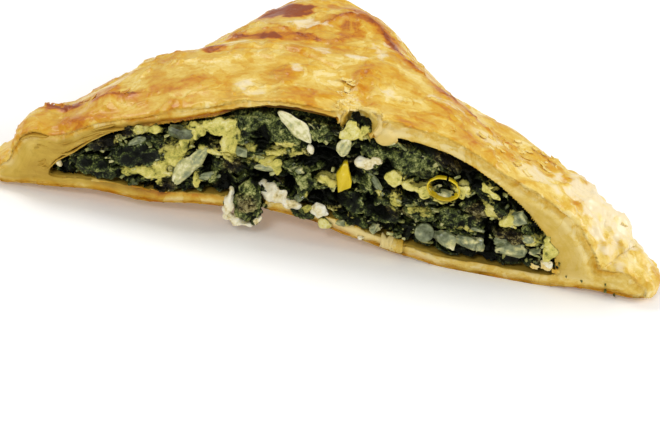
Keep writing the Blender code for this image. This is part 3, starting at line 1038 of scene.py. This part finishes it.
filling_finish, tree, shader = new_finish(
    "spinach_with_egg", Specular_IOR_Level=0.16, Coat_Roughness=0.16
)
where = object_place(tree)
light, gap_shade = attribute(tree, "light"), attribute(tree, "gap_shade")
custard, brown = attribute(tree, "custard"), attribute(tree, "brown")
wide = grain(tree, where, 7.0, detail=2.0)
mid = grain(tree, where, 2.2, detail=3.0, roughness=0.6, distortion=0.8)
fine = grain(tree, where, 0.7, detail=4.0, roughness=0.7, distortion=1.6)
# Leaf tone with painted light: lighter on the fold ridges, and darker, as painted shade, in the
# crevices and holes.
shade = light * 0.62 + (mid - 0.5) * 1.5 + (fine - 0.5) * 2.6 - gap_shade * 0.8 + 0.03
leaf_colour = colour_ramp(
    tree,
    shade.clamped(),
    (0.00, (0.003, 0.004, 0.001)),
    (0.18, (0.012, 0.017, 0.003)),
    (0.34, (0.036, 0.050, 0.010)),
    (0.50, (0.084, 0.108, 0.022)),
    (0.66, (0.185, 0.215, 0.050)),
    (0.84, (0.370, 0.390, 0.110)),
    (1.00, (0.620, 0.610, 0.230)),
)
browned = colour_ramp(
    tree,
    (shade + (fine - 0.5) * 0.6).clamped(),
    (0.00, (0.006, 0.004, 0.001)),
    (0.30, (0.050, 0.037, 0.010)),
    (0.60, (0.190, 0.155, 0.042)),
    (1.00, (0.480, 0.410, 0.170)),
)
brown_share = (brown * 1.5 + (wide - 0.5) * 2.2 + (mid - 0.5) * 1.4 - 0.35).clamped()
leaf_colour = blend_colours(tree, brown_share, leaf_colour, browned)
custard_colour = colour_ramp(
    tree,
    (custard * 0.55 + 0.09 + (wide - 0.5) * 1.2 + (mid - 0.5) * 1.5 + (fine - 0.5)).clamped(),
    (0.00, (0.110, 0.105, 0.018)),
    (0.22, (0.300, 0.290, 0.055)),
    (0.44, (0.600, 0.540, 0.105)),
    (0.68, (0.790, 0.690, 0.165)),
    (1.00, (0.930, 0.860, 0.400)),
)
# Painted shade in the crevices also darkens the custard and the egg film there.
egg_share = ((custard - 0.42) * 3.4 + (mid - 0.5) * 4.0 + (fine - 0.5) * 3.2).clamped()
film = ((fine - 0.60) * 7.0 + (mid - 0.54) * 4.0 - gap_shade * 1.5).clamped() * 0.65
egg_share = (egg_share + film - gap_shade * 0.8).clamped()
colour = blend_colours(tree, egg_share, leaf_colour, custard_colour)
bump = bumps(tree, fine + mid * 0.6, strength=0.8, distance_mm=0.4)
drive(
    tree,
    shader,
    Base_Color=colour,
    Roughness=(0.46 + (mid - 0.5) * 0.4 + egg_share * 0.05).clamped(),
    Coat_Weight=((fine - 0.53) * 7.0 + (light - 0.5) * 0.4 - gap_shade * 1.4).clamped(),
    Normal=bump,
)
new_piece("filling_core", core, filling_finish, "filling")

# ---------------------------------------------------------------------------
# Spinach leaves: crumpled wads that lie flat between the crusts, and the few broad leaves whose
# surface shows. The dark wad at the left end is the most tightly pressed.

WAD_DETAIL, WAD_FOLDS = 4, 0.75
LEAF_FACES = 21_000
SPINACH_THICKNESS = 0.45 * MM
WADS = (  # middle across, behind and up; half sizes; turn in degrees; how light
    ((-55.5, 0.9, 9.6), (6.2, 2.2, 2.5), -8, -0.02),
    ((-46.0, 0.9, 15.0), (6.8, 2.4, 3.2), 18, -0.04),
    ((-54.6, 0.8, 16.0), (4.2, 1.4, 1.5), 24, -0.25),
    ((-48.2, 0.6, 20.8), (4.4, 1.2, 1.1), 20, -0.30),
    ((-39.6, 0.7, 19.0), (3.2, 1.6, 1.5), 14, -0.15),
    ((-38.8, 0.4, 8.2), (2.8, 1.5, 1.6), 25, -0.05),
    ((-33.6, 0.6, 8.8), (1.8, 1.3, 0.8), 5, -0.05),
    ((-26.6, 0.7, 12.2), (4.4, 2.2, 2.8), -10, 0.05),
    ((-29.4, 0.2, 13.0), (2.8, 1.4, 1.4), 15, 0.30),
    ((-24.2, 0.5, 17.0), (3.0, 1.6, 2.2), -40, 0.15),
    ((-23.4, 0.6, 25.6), (2.3, 1.3, 3.2), 0, 0.10),
    ((-5.6, 0.8, 28.8), (3.2, 1.4, 2.3), -12, 0.05),
    ((-7.0, 0.4, 15.4), (2.8, 1.8, 3.8), 10, 0.30),
    ((4.8, 0.5, 12.9), (3.5, 1.9, 3.0), -20, 0.05),
    ((7.6, 0.4, 18.3), (3.8, 1.6, 2.2), -40, 0.25),
    ((12.5, 0.8, 11.4), (5.0, 2.0, 2.2), -8, 0.00),
    ((30.5, 0.5, 13.6), (6.0, 2.0, 2.6), -2, 0.00),
    ((43.2, 0.7, 11.2), (4.6, 1.8, 1.9), -5, 0.20),
    ((46.6, 0.3, 14.6), (1.5, 1.2, 1.4), 0, 0.10),
    ((38.5, 0.8, 17.5), (3.8, 1.6, 1.8), -30, 0.00),
    ((22.0, 2.4, 28.4), (8.0, 2.0, 2.0), -22, -0.25),
    ((20.8, 0.6, 13.0), (4.0, 1.6, 1.6), -5, 0.15),
    ((36.0, 0.6, 5.4), (8.4, 1.6, 1.1), -2, -0.20),
    ((-6.2, 0.3, 7.8), (2.8, 1.4, 1.2), -12, 0.00),
    ((-19.2, -2.0, 9.4), (3.0, 2.2, 5.2), -4, 0.40),
    # Kept dark, as painted shade in the deep torn notch.
    ((3.3, 2.0, 33.0), (2.4, 1.4, 2.0), -20, -0.30),
    ((4.6, 1.2, 32.2), (1.4, 1.0, 1.8), -40, 0.20),
    ((5.4, 0.5, 8.4), (4.4, 1.6, 1.5), -12, 0.15),
    ((-10.8, 0.8, 22.4), (3.6, 1.5, 1.4), 5, 0.20),
)


def filling_mesh():
    """An empty mesh with the layers that the finishes of the filling read."""
    bm = bmesh.new()
    for name in FILLING_LOOKS:
        bm.verts.layers.float.new(name)
    return bm


def set_looks(bm, vert, *values):
    """Gives a point its values for the finish, in the order of their names."""
    for name, value in zip(FILLING_LOOKS, values):
        vert[bm.verts.layers.float[name]] = value


def add_wad(bm, centre, radii, turn, light, seed):
    """A crumpled wad of leaf, with painted shade in its creases and painted light on its ridges."""
    made = add_ball(bm, centre, radii, WAD_DETAIL, turn)
    middle = at_cut(*centre)
    for vert in made:
        place = vert.co / MM
        fold = crumpled(place, 2.5, seed)
        tiny = crumpled(place, 0.9, seed + 3)
        out = (vert.co - middle).normalized()
        out.y *= 1.2
        pushed = vert.co + out * (WAD_FOLDS * (fold - 0.6) * 2 + 0.35 * (tiny - 0.5)) * MM
        # Painted light on the ridges over the wad's own lightness; painted shade in the creases.
        tone_and_painted_light = 0.8 * fold + 0.3 * (tiny - 0.5) + light
        vert.co, values = dressed(pushed, tone_and_painted_light, 0.8 * (1 - fold) ** 2)
        set_looks(bm, vert, *values)


def finished_lumps(name, bm):
    """The lumps, their faces outwards, with smooth shading."""
    bmesh.ops.recalc_face_normals(bm, faces=bm.faces[:])
    mesh = bpy.data.meshes.new(name)
    bm.to_mesh(mesh)
    bm.free()
    mesh.shade_smooth()
    return mesh


bm = filling_mesh()
for number, (centre, radii, turn, light) in enumerate(WADS):
    add_wad(bm, centre, radii, turn, light, 3.7 * number)
new_piece("spinach_wads", finished_lumps("spinach_wads", bm), filling_finish)


def lies_in_filling(across, up, margin):
    """Whether this place on the cut is well inside the filling."""
    above = filling_tree.ray_cast(at_cut(across, 0.3, 100), Vector((0, 0, -1)))[0]
    below = filling_tree.ray_cast(at_cut(across, 0.3, -100), Vector((0, 0, 1)))[0]
    return above is not None and below.z / MM + margin < up < above.z / MM - margin


BROAD_LEAVES = (  # middle, half sizes, turn, lightness, bulge: leaves seen from their face
    ((-16.2, 0.2, 27.2), (8.2, 1.0, 3.7), -10, 0.10, 1.3),
    ((14.5, 0.4, 25.8), (9.2, 1.0, 3.5), -10, 0.12, 1.2),
    ((33.4, 0.6, 16.4), (3.8, 1.0, 1.7), -8, 0.25, 0.6),
    ((-10.0, 0.6, 18.4), (3.0, 1.0, 1.6), -15, 0.20, 0.6),
    ((11.4, 0.6, 13.8), (3.2, 1.0, 1.2), -10, 0.20, 0.5),
    ((-26.4, 0.3, 15.4), (2.6, 1.0, 1.2), -20, 0.10, 0.5),
)


def broad_leaf(bm, centre, radii, turn, light, bulge, seed):
    """A leaf laid over the mass with its face to the knife, crinkled all over."""
    columns, rows = int(6 * radii[0]), int(6 * radii[2])
    made = bmesh.ops.create_grid(bm, x_segments=columns, y_segments=rows, size=1.0)["verts"]
    spun = Matrix.Rotation(math.radians(-turn), 3, "Y")
    for vert in made:
        along, up = vert.co.x, vert.co.y
        edge = 1 + 0.35 * wave(Vector((math.atan2(up, along), seed, 0)), 0.7, 1.0)
        narrowing, lowering = math.sqrt(1 - up * up / 2.2), math.sqrt(1 - along**2 / 2.2)
        rounded = Vector((along * narrowing, 0, up * lowering))
        point = Vector((rounded.x * radii[0] * edge, 0, rounded.z * radii[2] * edge))
        sample = point + Vector((seed, seed, 0))
        fold, tiny = crumpled(sample, 2.6, seed), crumpled(sample, 0.8, seed + 2)
        point.y = bulge * (rounded.length_squared - 0.5) - 0.9 * (fold - 0.5) - 0.40 * (tiny - 0.5)
        place = at_cut(*(Vector(centre) + spun @ point))
        # Painted light on the crinkles' ridges, painted shade in their creases.
        vert.co, values = dressed(place, 0.5 * tiny + 0.3 * fold + light, 0.4 * (1 - fold) ** 3)
        set_looks(bm, vert, *values)


def torn_leaf(bm, across, up, width, deep, turn, seed):
    """A leaf lying flat, seen by its cut edge."""
    light = chance.uniform(-0.1, 0.55)
    spun = Matrix.Rotation(math.radians(-turn), 3, "Y")
    columns = max(8, int(width * 2.4))
    made = bmesh.ops.create_grid(bm, x_segments=columns, y_segments=6, size=0.5)["verts"]
    for vert in made:
        along = vert.co.x * width
        back = (vert.co.y + 0.5) * deep + 0.1 + 0.6 * wave(Vector((along, 0, seed)), 1.6)
        point = Vector((along, back, 0))
        sample = point + Vector((seed * 3.1, 0, 0))
        point.z = 0.9 * wave(sample, 3.2, seed) + 0.45 * wave(sample, 1.3, seed)
        place = at_cut(*(Vector((across, 0, up)) + spun @ point))
        vert.co, values = dressed(place, light, 0.0)
        set_looks(bm, vert, *values)


bm = filling_mesh()
for number, (centre, radii, turn, light, bulge) in enumerate(BROAD_LEAVES):
    broad_leaf(bm, centre, radii, turn, light, bulge, 5.3 * number + 1)
while len(bm.faces) < LEAF_FACES:
    across, up = chance.uniform(-60, 54), chance.uniform(3, 32)
    if lies_in_filling(across, up, 1.5):
        lean = -14 if across > 20 else (12 if across < -34 else 0)
        width, turn = chance.uniform(2.5, 7.0), lean + chance.gauss(0, 18)
        torn_leaf(bm, across, up, width, 4.5, turn, len(bm.faces) / 100)
spinach_leaves = finished_sheets("spinach_leaves", bm, SPINACH_THICKNESS)
new_piece("spinach_leaves", spinach_leaves, filling_finish)

# ---------------------------------------------------------------------------
# Egg and cheese: the pale yellow set custard that binds the spinach, most of it in the left half,
# and crumbs of white feta along the bottom.

BLOB_VOXEL = 0.3 * MM
KNIFE_SLICE, LUMP_SLICE = 0.35, 3.0  # millimetres before the cut, where blobs are sliced
CUSTARD = (  # middle across, behind and up; half sizes; turn
    ((-47.2, 0.5, 10.2), (2.4, 1.2, 0.9), 0),
    ((-43.4, 0.4, 10.7), (3.6, 1.4, 1.6), -5),
    ((-40.4, 0.4, 12.6), (1.9, 1.4, 2.2), 40),
    ((-38.2, 0.4, 16.6), (2.2, 1.4, 3.2), 10),
    ((-45.0, 0.5, 21.7), (3.4, 1.1, 0.9), 14),
    ((-34.2, 0.5, 23.8), (3.0, 1.4, 2.3), 0),
    ((-28.0, 0.3, 26.0), (4.4, 1.5, 2.3), 2),
    ((-25.6, 0.4, 22.0), (1.7, 1.4, 3.2), 10),
    ((-29.6, 0.5, 19.3), (2.8, 1.2, 0.9), -8),
    ((-35.8, 0.5, 19.8), (1.3, 1.2, 2.4), 0),
    ((-31.8, 0.5, 11.2), (0.8, 1.0, 2.0), 15),
    ((-17.2, 0.4, 19.1), (2.9, 1.1, 1.0), 6),
    ((-13.8, -0.1, 18.6), (1.1, 1.0, 2.0), 4),
    ((-14.6, 0.6, 21.8), (1.9, 1.0, 0.8), 30),
    ((-1.6, 0.5, 17.2), (2.2, 1.1, 1.1), -10),
    ((1.5, 0.0, 31.0), (2.0, 1.6, 2.6), 0),
    ((-0.7, 0.0, 29.8), (0.9, 1.1, 1.4), 0),
    ((4.4, 0.6, 30.8), (1.0, 1.2, 2.0), -10),
    ((13.4, 0.0, 21.0), (1.9, 1.3, 2.0), -30),
    ((17.4, 0.2, 19.8), (2.6, 1.0, 0.8), -12),
    ((20.6, 0.0, 19.1), (1.9, 1.3, 1.5), 0),
    ((29.4, 0.1, 21.2), (1.8, 1.2, 1.3), 10),
    ((29.6, 0.2, 19.4), (1.0, 1.0, 0.7), 0),
    ((14.4, 0.4, 15.4), (1.1, 1.0, 2.3), 10),
    ((20.8, 0.7, 14.2), (2.4, 0.8, 0.4), -5),
    ((41.4, 0.1, 15.5), (2.0, 1.2, 1.4), 20),
    ((36.6, 0.4, 17.4), (2.5, 1.0, 0.7), -38),
    ((36.0, 0.2, 22.0), (3.0, 1.1, 0.9), -35),
    ((51.4, 0.2, 12.4), (1.0, 1.1, 1.6), 0),
    ((52.6, 0.2, 9.2), (1.4, 1.2, 2.4), -20),
    ((48.0, 0.4, 10.4), (2.0, 1.0, 0.6), 5),
    ((-0.4, 0.2, 6.2), (1.8, 1.2, 0.9), -15),
    ((-5.6, 0.2, 9.0), (1.7, 1.0, 0.6), 28),
)
FETA = (
    ((-16.0, -0.1, 12.4), (2.2, 1.6, 1.2), -25),
    ((-13.4, -0.3, 11.4), (3.8, 1.9, 2.2), -20),
    ((-9.8, -0.1, 9.8), (3.2, 1.7, 1.3), -18),
    ((-2.3, -0.3, 9.3), (2.3, 1.8, 1.9), -20),
    ((-23.2, -1.8, 8.8), (0.9, 1.7, 3.4), 4),
    ((-23.4, -1.8, 5.2), (1.1, 1.7, 1.8), 14),
    ((-21.8, -1.8, 3.9), (1.6, 1.6, 0.7), -24),
    ((-19.2, -1.8, 3.5), (2.4, 1.6, 0.5), 0),
    ((-16.3, -1.7, 5.0), (0.8, 1.6, 1.9), -14),
    ((6.3, 0.1, 23.4), (2.3, 1.3, 1.3), -8),
    ((8.8, 0.0, 24.4), (1.6, 1.1, 0.7), 15),
    ((8.4, -0.1, 3.9), (0.8, 0.8, 0.6), 0),
    ((52.2, 0.0, 6.2), (1.6, 1.1, 1.2), -20),
    ((-64.2, 0.6, 8.9), (0.8, 0.6, 0.7), 0),
    ((-7.0, 0.0, 24.6), (0.5, 0.7, 1.5), 24),
)


def fused_blobs(name, blobs, roughness, seed):
    """Balls fused into lumpy masses, sliced by the knife; thin and greener towards their rims,
    where they are also painted darker as shade.
    """
    bm = bmesh.new()
    for centre, radii, turn in blobs:
        add_ball(bm, centre, radii, turn=turn)
    mesh = bpy.data.meshes.new(name)
    bm.to_mesh(mesh)
    bm.free()
    mesh = baked_mesh(name, mesh, [("REMESH", {"mode": "VOXEL", "voxel_size": BLOB_VOXEL})])
    made = []
    for vert in mesh.vertices:
        point = vert.co / MM
        lump = wave(point, 2.2, seed)
        crumb = wave(point, 0.9, seed + 1)
        height = 1.1 * lump + roughness * crumb
        moved = vert.co + vert.normal * height * MM
        hangs = point.z < 14 and -27 < point.x < -14
        sliced = CUT_Y - (LUMP_SLICE if hangs else KNIFE_SLICE) * MM
        if moved.y < sliced:
            moved.y = sliced + 0.45 * (moved.y - sliced)
        rim = smooth_step((-vert.normal.y + 0.15) / 0.75)
        light = 0.5 + 0.7 * wave(point, 2.6, seed + 2)
        custard = 0.30 + 0.62 * rim + 0.25 * crumb
        brown = 0.6 * zones_at(point)["brown"] + 0.3 * wave(point, 3.0, seed + 3)
        # Where the surface turns from the knife it is greener, and painted darker as shade.
        made.append((moved, (light, 0.25 * (1 - rim), custard, brown)))
    with_values(mesh, made)
    return mesh


def soft_finish(name, *stops, bump_size, gloss, spread):
    """A moist, slightly translucent food, mottled between these colours. The size of its bumps is
    in millimetres."""
    finish, tree, shader = new_finish(
        name,
        Specular_IOR_Level=0.35,
        Coat_Roughness=0.12,
        Subsurface_Weight=0.2,
        Subsurface_Scale=MM,
        Subsurface_Radius=(1.0, 0.9, 0.6),
    )
    where = object_place(tree)
    light = attribute(tree, "light")
    mid = grain(tree, where, 2.4, detail=3.0, roughness=0.6)
    fine = grain(tree, where, bump_size, detail=3.0, roughness=0.6, distortion=0.6)
    share = (light * 0.5 + 0.25 + (mid - 0.5) * spread + (fine - 0.5) * 0.7).clamped()
    drive(
        tree,
        shader,
        Base_Color=colour_ramp(tree, share, *stops),
        Roughness=(0.42 + (fine - 0.5) * 0.3).clamped(),
        Coat_Weight=((fine - 0.5) * 4.0 + gloss).clamped(),
        Normal=bumps(tree, fine, strength=0.5, distance_mm=0.3),
    )
    return finish


egg_custard = fused_blobs("egg_custard", CUSTARD, roughness=0.30, seed=31.0)
new_piece("egg_custard", egg_custard, filling_finish)
feta_finish = soft_finish(
    "white_feta",
    (0.00, (0.36, 0.27, 0.09)),
    (0.25, (0.72, 0.60, 0.28)),
    (0.50, (0.90, 0.82, 0.55)),
    (1.00, (1.00, 0.97, 0.84)),
    bump_size=0.6,
    gloss=-0.2,
    spread=1.1,
)
feta = fused_blobs("feta", FETA, roughness=0.35, seed=47.0)
new_piece("feta", feta, feta_finish)

# ---------------------------------------------------------------------------
# Onion and leek: translucent petals, dice and a round, softened but still cleanly cut.

PETAL_THICKNESS = 0.5 * MM
EDGE_SOFTENING, SAME_CORNER = 0.22, 0.002  # of half the piece's size
PETALS = (  # middle, half sizes, turn, lightness: pieces of one curved layer
    ((-11.4, -0.2, 29.4), (5.2, 1.0, 1.9), -36, 1.25),
    ((-34.6, -0.3, 13.4), (4.8, 1.0, 1.9), 62, 0.86),
    ((-32.2, -0.2, 16.4), (4.0, 0.9, 1.5), 66, 0.92),
    ((1.0, -0.5, 26.9), (2.4, 1.0, 1.6), 78, 0.95),
    ((-46.8, -0.1, 18.4), (2.2, 0.8, 0.8), 34, 0.30),
    ((-16.6, 0.0, 17.6), (2.4, 0.7, 0.8), 6, 0.65),
    ((33.6, 0.2, 12.0), (2.8, 0.8, 0.6), -8, 0.30),
    ((-41.8, 0.0, 14.6), (2.8, 0.6, 0.4), 52, 0.60),
    ((9.4, 0.3, 18.6), (3.4, 0.7, 0.8), -50, 0.20),
    ((-29.0, -0.2, 12.8), (2.6, 0.8, 0.9), 16, 0.25),
)
DICE = (  # middle, half sizes, turn, lightness: chopped pieces with flat cut sides
    ((-37.0, -0.2, 22.2), (2.7, 1.1, 1.6), 2, -0.25),
    ((27.6, 0.1, 8.1), (2.9, 1.2, 1.8), -12, 0.18),
    ((32.8, -0.4, 8.4), (2.7, 1.3, 1.5), -14, 0.28),
    ((36.0, 0.1, 8.0), (1.2, 1.1, 1.6), 10, 0.50),
    ((43.2, 0.1, 8.5), (3.4, 1.2, 1.8), -8, 0.34),
    ((43.4, -0.2, 16.6), (1.8, 1.0, 1.5), 30, 0.10),
    ((24.9, 0.7, 19.3), (2.8, 0.8, 1.1), 0, 0.60),
    ((-7.4, -0.2, 12.0), (1.4, 1.0, 1.0), 30, 0.20),
    ((11.3, -0.1, 7.5), (1.3, 0.9, 1.0), 40, 0.40),
    ((3.4, 0.0, 7.0), (1.2, 0.9, 0.9), 20, 0.30),
    ((40.6, -0.1, 10.2), (1.5, 0.9, 0.9), 20, 0.25),
    ((47.0, 0.0, 12.0), (1.4, 0.9, 0.9), 10, 0.45),
    ((-8.6, 0.0, 18.6), (1.0, 0.8, 0.8), 40, 0.60),
    ((-22.6, 0.0, 20.8), (1.3, 0.9, 1.0), 0, 0.20),
    ((49.0, 0.0, 9.0), (1.2, 0.9, 0.7), 10, 0.60),
)


def add_petal(bm, centre, radii, turn, light, seed):
    """A piece of one curved layer, pointed at its ends, with the lines of its cells."""
    spun = Matrix.Rotation(math.radians(-turn), 3, "Y")
    made = bmesh.ops.create_grid(bm, x_segments=30, y_segments=16, size=1.0)["verts"]
    for vert in made:
        along, aside = vert.co.x, vert.co.y
        uneven = 1 + 0.25 * wave(Vector((1.6 * along, seed, 0)), 1.0)
        width = (1 - abs(along) ** 1.9) ** 0.75 * uneven
        height = aside * width + 0.30 * (1 - along * along)
        lift = 0.5 * (1 - along * along) - 0.45 * aside * aside * width
        line = math.sin(8 * aside + 1.4 * along + seed)
        point = Vector((along * radii[0], -(lift + 0.06 * line) * 1.6 * radii[1], height * radii[2]))
        vert.co = at_cut(*(Vector(centre) + spun @ point))
        grey = 0.35 * wave(Vector((2.0 * along, 1.5 * aside, seed)), 1.0)
        set_looks(bm, vert, light + 0.22 * aside + 0.10 * line + grey, 0.0, 0.5, 0.0)


def random_side():
    """A slanting plane: the way it faces and how far out it is."""
    way = Vector([chance.gauss(0, 1) for axis in range(3)]).normalized()
    return way, chance.uniform(0.6, 1.0)


def add_dice(bm, centre, radii, turn, light, cuts=6, tilt=0.0, rough=1.0, sides=(), segments=3):
    """A chopped piece: a block cut by these sides or by random ones, its edges softened. With one
    segment at its edges it stays coarse."""
    part = bmesh.new()
    bmesh.ops.create_cube(part, size=2.0)
    for way, out in sides or [random_side() for number in range(cuts)]:
        geometry = part.verts[:] + part.edges[:] + part.faces[:]
        cut = bmesh.ops.bisect_plane(
            part, geom=geometry, plane_co=way * out, plane_no=way, clear_outer=True
        )
        rim = [item for item in cut["geom_cut"] if isinstance(item, bmesh.types.BMEdge)]
        if rim:
            bmesh.ops.contextual_create(part, geom=rim)
    bmesh.ops.bevel(
        part,
        geom=part.edges[:],
        offset=EDGE_SOFTENING,
        segments=segments,
        affect="EDGES",
        profile=0.5,
        material=-1,
        clamp_overlap=bool(sides),
    )
    bmesh.ops.remove_doubles(part, verts=part.verts[:], dist=SAME_CORNER)
    put = Matrix.Translation(at_cut(*centre)) @ Matrix.Rotation(math.radians(-turn), 4, "Y")
    put = put @ Matrix.Rotation(tilt, 4, "X") @ Matrix.Rotation(0.4 * tilt, 4, "Z")
    put = put @ Matrix.Diagonal((*(radius * MM for radius in radii), 1))
    if segments > 1:
        bmesh.ops.subdivide_edges(part, edges=part.edges[:], cuts=1, use_grid_fill=True)
    for vert in part.verts:
        vert.co += 0.30 * rough * noise.noise_vector(vert.co * 1.2 + Vector((light, turn, 0)))
        vert.co += 0.16 * rough * noise.noise_vector(vert.co * 3.5 + Vector((turn, light, 0)))
    reach = [vert.co.length_squared for vert in part.verts]
    bmesh.ops.transform(part, matrix=put, verts=part.verts[:])
    carried = bpy.data.meshes.new("dice")
    part.to_mesh(carried)
    part.free()
    first = len(bm.verts)
    bm.from_mesh(carried)
    bpy.data.meshes.remove(carried)
    bm.verts.ensure_lookup_table()
    # Paler towards the outer edges and corners, as painted rim light.
    for vert, edge in zip(bm.verts[first:], reach):
        patch = 0.75 * wave(vert.co / MM, 1.3, light)
        set_looks(bm, vert, light + patch + 0.35 * (edge - 0.7), 0.0, 0.5, 0.0)


def add_round(bm, centre, radius, thickness, light):
    """A round cut across, with softened rims."""
    made = bmesh.ops.create_cone(
        bm,
        cap_ends=True,
        segments=40,
        radius1=radius * MM,
        radius2=radius * MM,
        depth=thickness * MM,
    )["verts"]
    rims = {edge for vert in made for edge in vert.link_edges if edge.calc_face_angle(0.0) > 0.8}
    bevelled = bmesh.ops.bevel(
        bm,
        geom=list(rims),
        offset=0.3 * MM,
        segments=3,
        affect="EDGES",
        profile=0.5,
        material=-1,
    )
    made = list({vert for face in bevelled["faces"] for vert in face.verts})
    put = Matrix.Translation(at_cut(*centre)) @ Matrix.Rotation(math.radians(82), 4, "X")
    bmesh.ops.transform(bm, matrix=put, verts=made)
    for vert in made:
        set_looks(bm, vert, light, 0.0, 0.5, 0.0)


bm = filling_mesh()
add_round(bm, (22.7, -0.6, 8.9), radius=2.3, thickness=1.2, light=0.22)
for centre, radii, turn, light in DICE:
    add_dice(bm, centre, radii, turn, light)
onion_finish = soft_finish(
    "softened_onion",
    (0.00, (0.050, 0.058, 0.018)),
    (0.28, (0.150, 0.175, 0.075)),
    (0.52, (0.290, 0.315, 0.150)),
    (0.76, (0.620, 0.580, 0.230)),
    (1.00, (0.900, 0.840, 0.530)),
    bump_size=0.9,
    gloss=0.5,
    spread=1.1,
)
new_piece("chopped_onion", finished_lumps("chopped_onion", bm), onion_finish)
bm = filling_mesh()
for number, (centre, radii, turn, light) in enumerate(PETALS):
    add_petal(bm, centre, radii, turn, light, 2.9 * number)
onion_petals = finished_sheets("onion_petals", bm, PETAL_THICKNESS)
new_piece("onion_petals", onion_petals, onion_finish)

# ---------------------------------------------------------------------------
# Yellow pepper: one bright chopped piece, and a slice bent into a cup round a dark hollow.

PEPPER_SIDES = (  # the knife's cuts: the way each faces and how far out it is
    (Vector((0.78, 0.0, 0.62)), 0.66),
    (Vector((-0.79, 0.0, 0.61)), 0.88),
    (Vector((-0.85, 0.0, -0.53)), 0.82),
    (Vector((0.32, 0.0, -0.95)), 0.78),
    (Vector((-0.80, -0.60, 0.0)), 0.90),
)
CUP_AT, CUP_SIZE = Vector((25.0, 0.0, 20.9)), (3.7, 2.7)
CUP_LEAN = Matrix.Rotation(math.radians(8), 3, "Y")
CUP_THICKNESS = 0.34 * MM

pepper_finish = soft_finish(
    "yellow_pepper",
    (0.00, (0.32, 0.22, 0.004)),
    (0.40, (0.66, 0.46, 0.004)),
    (0.75, (0.80, 0.60, 0.010)),
    (1.00, (0.88, 0.76, 0.20)),
    bump_size=1.2,
    gloss=0.1,
    spread=0.5,
)
bm = filling_mesh()
add_dice(bm, (1.9, -0.9, 19.5), (1.9, 1.3, 3.8), 0, 0.50, rough=0.25, sides=PEPPER_SIDES)
new_piece("pepper_dice", finished_lumps("pepper_dice", bm), pepper_finish)

bm = filling_mesh()
for vert in bmesh.ops.create_grid(bm, x_segments=60, y_segments=8, size=0.5)["verts"]:
    turn = math.radians(-268 + 352 * (vert.co.x + 0.5))
    low = 0.5 - 0.5 * math.sin(turn)
    wide = 1 + 0.06 * wave(Vector((3 * math.cos(turn), 3 * math.sin(turn), 0)), 1.0)
    inner = 1.04 - (0.02 + 0.34 * low**1.8) * (0.5 - vert.co.y)
    back = -0.9 + (0.5 - vert.co.y) * 1.5
    reach = Vector((CUP_SIZE[0] * math.cos(turn), 0, CUP_SIZE[1] * math.sin(turn)))
    point = reach * wide * inner + Vector((0, back, 0))
    vert.co = at_cut(*(CUP_AT + CUP_LEAN @ point))
    set_looks(bm, vert, 1.0 - 0.95 * low + 0.5 * wave(point, 1.8, 2.0), 0.0, 0.5, 0.0)
pepper_strip = finished_sheets("pepper_strip", bm, CUP_THICKNESS)
new_piece("pepper_strip", pepper_strip, pepper_finish)

# ---------------------------------------------------------------------------
# Small bits all through the filling: specks of stem, egg and onion the size of a grain of rice.

BIT_COUNT, CRUMB_COUNT = 340, 9

bm = filling_mesh()
placed = 0
while placed < BIT_COUNT:
    across, up = chance.uniform(-62, 54), chance.uniform(3, 32)
    here = Vector((across, 0, up))
    dense = 0.45 + 0.5 * wave(here, 9.0, 3.0) - zones_at(here)["void"]
    if chance.random() < dense and lies_in_filling(across, up, 0.8):
        size = chance.uniform(0.22, 0.65)
        radii = (size * chance.uniform(0.8, 2.4), 0.7 * size, size * chance.uniform(0.4, 1.0))
        place = (across, chance.uniform(0.0, 1.4), up)
        light = chance.choice((-0.3, -0.1, 0.1, 0.5, 0.8))
        turn, tilt = chance.uniform(-60, 60), chance.uniform(-1.2, 1.2)
        add_dice(bm, place, radii, turn, light, 4, tilt, segments=1)
        placed += 1
for number in range(CRUMB_COUNT):  # left by the knife on the cut bottom crust
    size = chance.uniform(0.15, 0.34)
    across = chance.uniform(50, 70)
    up = 6.4 - 0.20 * (across - 50) + chance.gauss(0, 0.8)
    place, radii = (across, 0.1, up), (size, 0.8, 0.6 * size)
    add_dice(bm, place, radii, chance.uniform(-60, 60), -0.5, 4, segments=1)
specks_finish = soft_finish(
    "green_specks",
    (0.00, (0.035, 0.045, 0.012)),
    (0.30, (0.120, 0.140, 0.036)),
    (0.60, (0.360, 0.360, 0.100)),
    (1.00, (0.740, 0.700, 0.320)),
    bump_size=0.7,
    gloss=0.2,
    spread=0.5,
)
new_piece("small_bits", finished_lumps("small_bits", bm), specks_finish)
